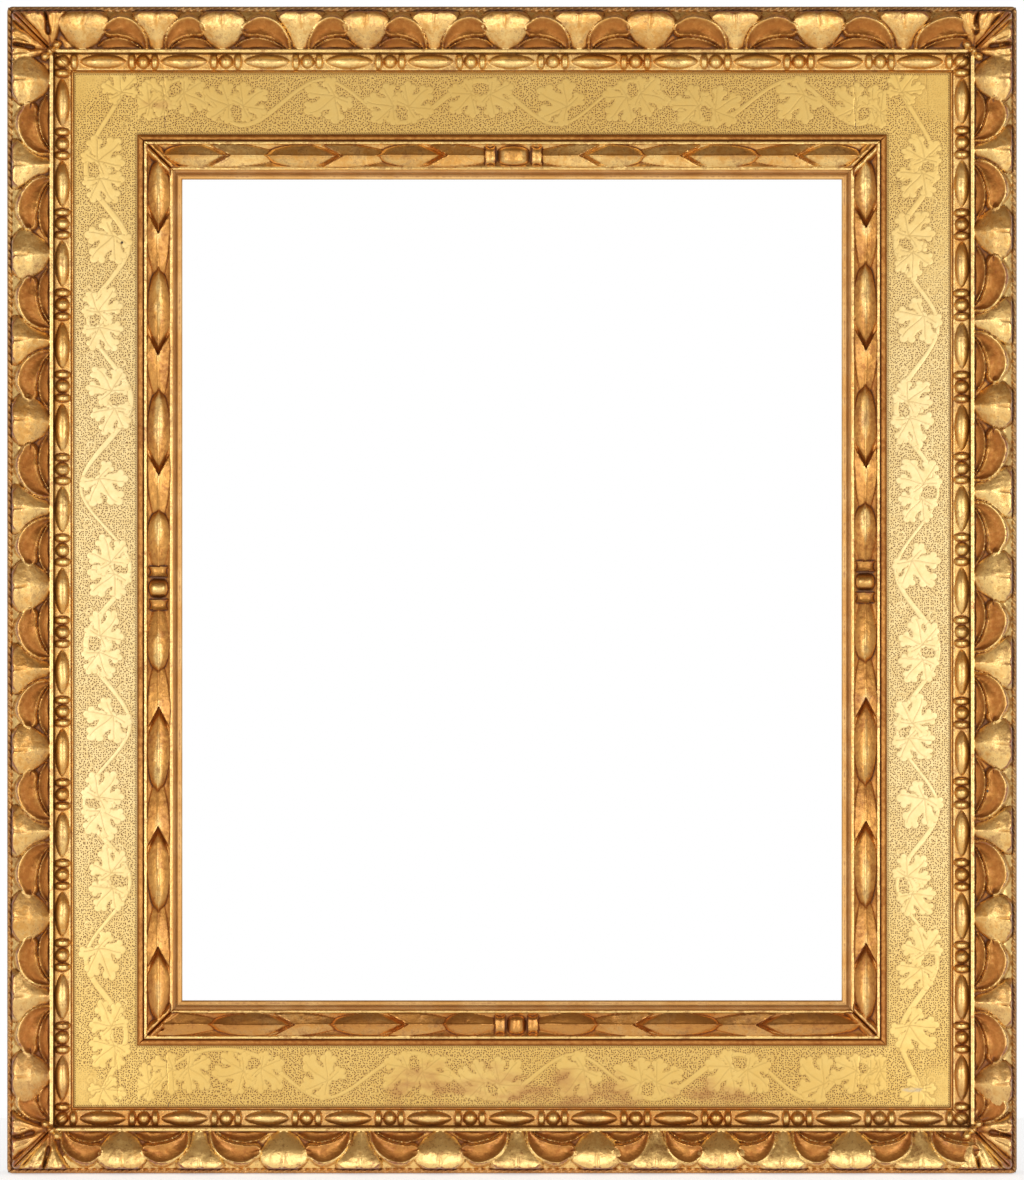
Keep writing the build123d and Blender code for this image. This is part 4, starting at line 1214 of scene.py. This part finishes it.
# %% Mix the wood
def old_wood(name, upright):
    mix = Finish(name)
    along = mix.stretched(30, 30, 1.6) if upright else mix.stretched(1.6, 30, 30)
    streaks, dust = mix.noise(6.0, 6.0, along, 0.65), mix.noise(18.0, 5.0)
    bands = (mix.noise(1.6, 2.0, along) * 9.0).fraction().step(0.15, 0.95)
    holes = mix.cells(34.0).step(0.022, 0.030, 1.0, 0.0)
    color = mix.coats(
        mix.blend(streaks.step(0.3, 0.75), (0.175, 0.088, 0.040), (0.38, 0.225, 0.112)),
        (bands * 0.35, (0.12, 0.065, 0.032)),
        (dust.step(0.45, 0.75) * 0.4, (0.10, 0.062, 0.038)),
        (holes, (0.02, 0.012, 0.008)),
    )
    height = streaks * 0.8 + bands * 0.3 - holes * 2.0
    return mix.finish(height, 0.0004, base_color=color, roughness=0.62 + dust * 0.25)


def peg_wood():
    mix = Finish("peg_wood")
    fine = mix.noise(700.0, 4.0)
    color = mix.blend(fine.step(0.35, 0.7), (0.11, 0.062, 0.03), (0.26, 0.16, 0.085))
    return mix.finish(fine, 0.0002, base_color=color, roughness=0.75)


wear(old_wood("old_poplar_upright", True), "left_stile", "right_stile")
wear(old_wood("old_poplar_level", False), "top_rail", "bottom_rail")
wear(peg_wood(), "lap_pegs")
print("wood on five nodes")


# %% Mix the metals
def old_metal(name, clean, dull, spots, metallic, rough):
    mix = Finish(name)
    fine, broad = mix.noise(380.0, 5.0), mix.noise(90.0, 3.0)
    stain = (fine + (broad - 0.5) * 0.5).step(0.58, 0.74)
    color = mix.blend(stain, mix.blend(broad.step(0.35, 0.65), clean, dull), spots)
    scratches = mix.noise(60.0, 4.0, mix.stretched(14, 14, 1))
    roughness = rough + stain * 0.25 + (scratches - 0.5) * 0.2
    return mix.finish(fine, 0.00008, base_color=color, metallic=metallic - stain * 0.4, roughness=roughness)


brass = old_metal("tarnished_brass", (0.60, 0.42, 0.16), (0.42, 0.27, 0.10), (0.16, 0.09, 0.04), 1.0, 0.30)
steel = old_metal("dull_steel", (0.42, 0.40, 0.37), (0.30, 0.28, 0.26), (0.15, 0.085, 0.05), 1.0, 0.36)
iron = old_metal("rusted_iron", (0.13, 0.10, 0.085), (0.17, 0.085, 0.045), (0.24, 0.095, 0.035), 0.6, 0.55)
for side in ("left", "right"):
    wear(brass, "hanger_strap_" + side, "hanger_ring_" + side)
wear(brass, *(f"turn_button_{i}" for i in (1, 2, 3, 4)))
wear(steel, "hanger_screws", "turn_button_screws")
wear(iron, "moulding_nails")
print("three metals are mixed")

# %% [markdown]
# ## Floor, light and camera
# A white world stands for the photographer's white sweep. Two softboxes left and right give gold its play
# of light and dark. In reflections the top and bottom of the room are dimmer and a little warmer, so faces
# turned up or down are deeper in tone. The camera looks straight on from far away.


# %% Floor and world
seen_rays = ("Is Camera Ray", "Is Glossy Ray", "Is Transmission Ray")
white, warm_dim = (1.0, 1.0, 1.0), (1.0, 0.62, 0.34)


def pale_floor():
    """A pale floor that keeps the frame's shadow and glows a little for the eye and for reflections."""
    mix = Finish("pale_floor")
    seen, mirrored, passed = (mix.ray(kind) for kind in seen_rays)
    glow = mix.blend(seen.larger(mirrored).larger(passed), (0.0, 0.0, 0.0), (0.58, 0.58, 0.578))
    for key, value in (("Base Color", (0.84, 0.84, 0.83, 1.0)), ("Roughness", 0.85),
                       ("Emission Color", glow), ("Emission Strength", 1.0)):
        mix.feed(mix.shader.inputs[key], value)
    return mix.material


floor_top = -outer_height / 2 * MM - 0.0005
floor_corners = ((-1.3, -1.3), (1.3, -1.3), (1.3, 0.45), (-1.3, 0.45))
floor_mesh = bpy.data.meshes.new("floor")
floor_mesh.from_pydata([(x, y, floor_top) for x, y in floor_corners], [], [(0, 1, 2, 3)])
floor = bpy.data.objects.new("floor", floor_mesh)
bpy.context.scene.collection.objects.link(floor)
floor_mesh.materials.append(pale_floor())

world = bpy.data.worlds.new("studio")
bpy.context.scene.world = world
world.use_nodes = True
world.node_tree.nodes.clear()
world.cycles.sampling_method = "NONE"
sky = Net(world.node_tree)
direction = sky.node("ShaderNodeTexCoord", {}, {}, "Generated")
away, height = (sky.node("ShaderNodeSeparateXYZ", {}, {0: direction}, i) for i in (1, 2))
seen, mirrored, passed, spread = (sky.ray(kind) for kind in (*seen_rays, "Is Diffuse Ray"))
room = height.step(0.08, 0.60, 1.0, 0.28) * height.step(-0.80, -0.12, 0.62, 1.0)
room = room * away.step(-0.35, 0.30, 0.72, 1.0)
strength = seen.larger(mirrored.larger(passed) * room).larger(spread * 0.42)
tint = sky.blend(seen.larger(spread).larger(room.step(0.25, 0.80)), warm_dim, white)
lit = sky.node("ShaderNodeBackground", {}, {"Color": tint, "Strength": strength})
world_output = sky.tree.nodes.new("ShaderNodeOutputWorld")
sky.feed(world_output.inputs["Surface"], lit)
print("floor at", round(floor_top, 4), "world nodes", len(sky.tree.nodes))


# %% Softboxes and camera
def softbox(name, place, width, height, power):
    """A rectangular area light that faces the frame's centre."""
    light = bpy.data.lights.new(name, "AREA")
    light.shape, light.size, light.size_y, light.energy = "RECTANGLE", width, height, power
    box = bpy.data.objects.new(name, light)
    bpy.context.scene.collection.objects.link(box)
    box.location = place
    box.rotation_euler = (-Vector(place)).to_track_quat("-Z", "Y").to_euler()


for side, sign in (("left", -1), ("right", 1)):
    softbox("softbox_" + side, (sign * 0.90, -1.75, -0.02), 0.5, 0.7, 8.5)

camera_data = bpy.data.cameras.new("camera")
camera_data.lens = 220.0
camera_data.sensor_width = 36.0
camera = bpy.data.objects.new("camera", camera_data)
bpy.context.scene.collection.objects.link(camera)
seen_height = 1180 * photo_pixel * MM
front_plane = -0.005
distance = seen_height * camera_data.lens / camera_data.sensor_width
camera.location = (0, front_plane - distance, 0)
camera.rotation_euler = (math.radians(90), 0, 0)
bpy.context.scene.camera = camera
bpy.context.scene.view_settings.view_transform = "Standard"
print("camera at", round(camera.location.y, 3))
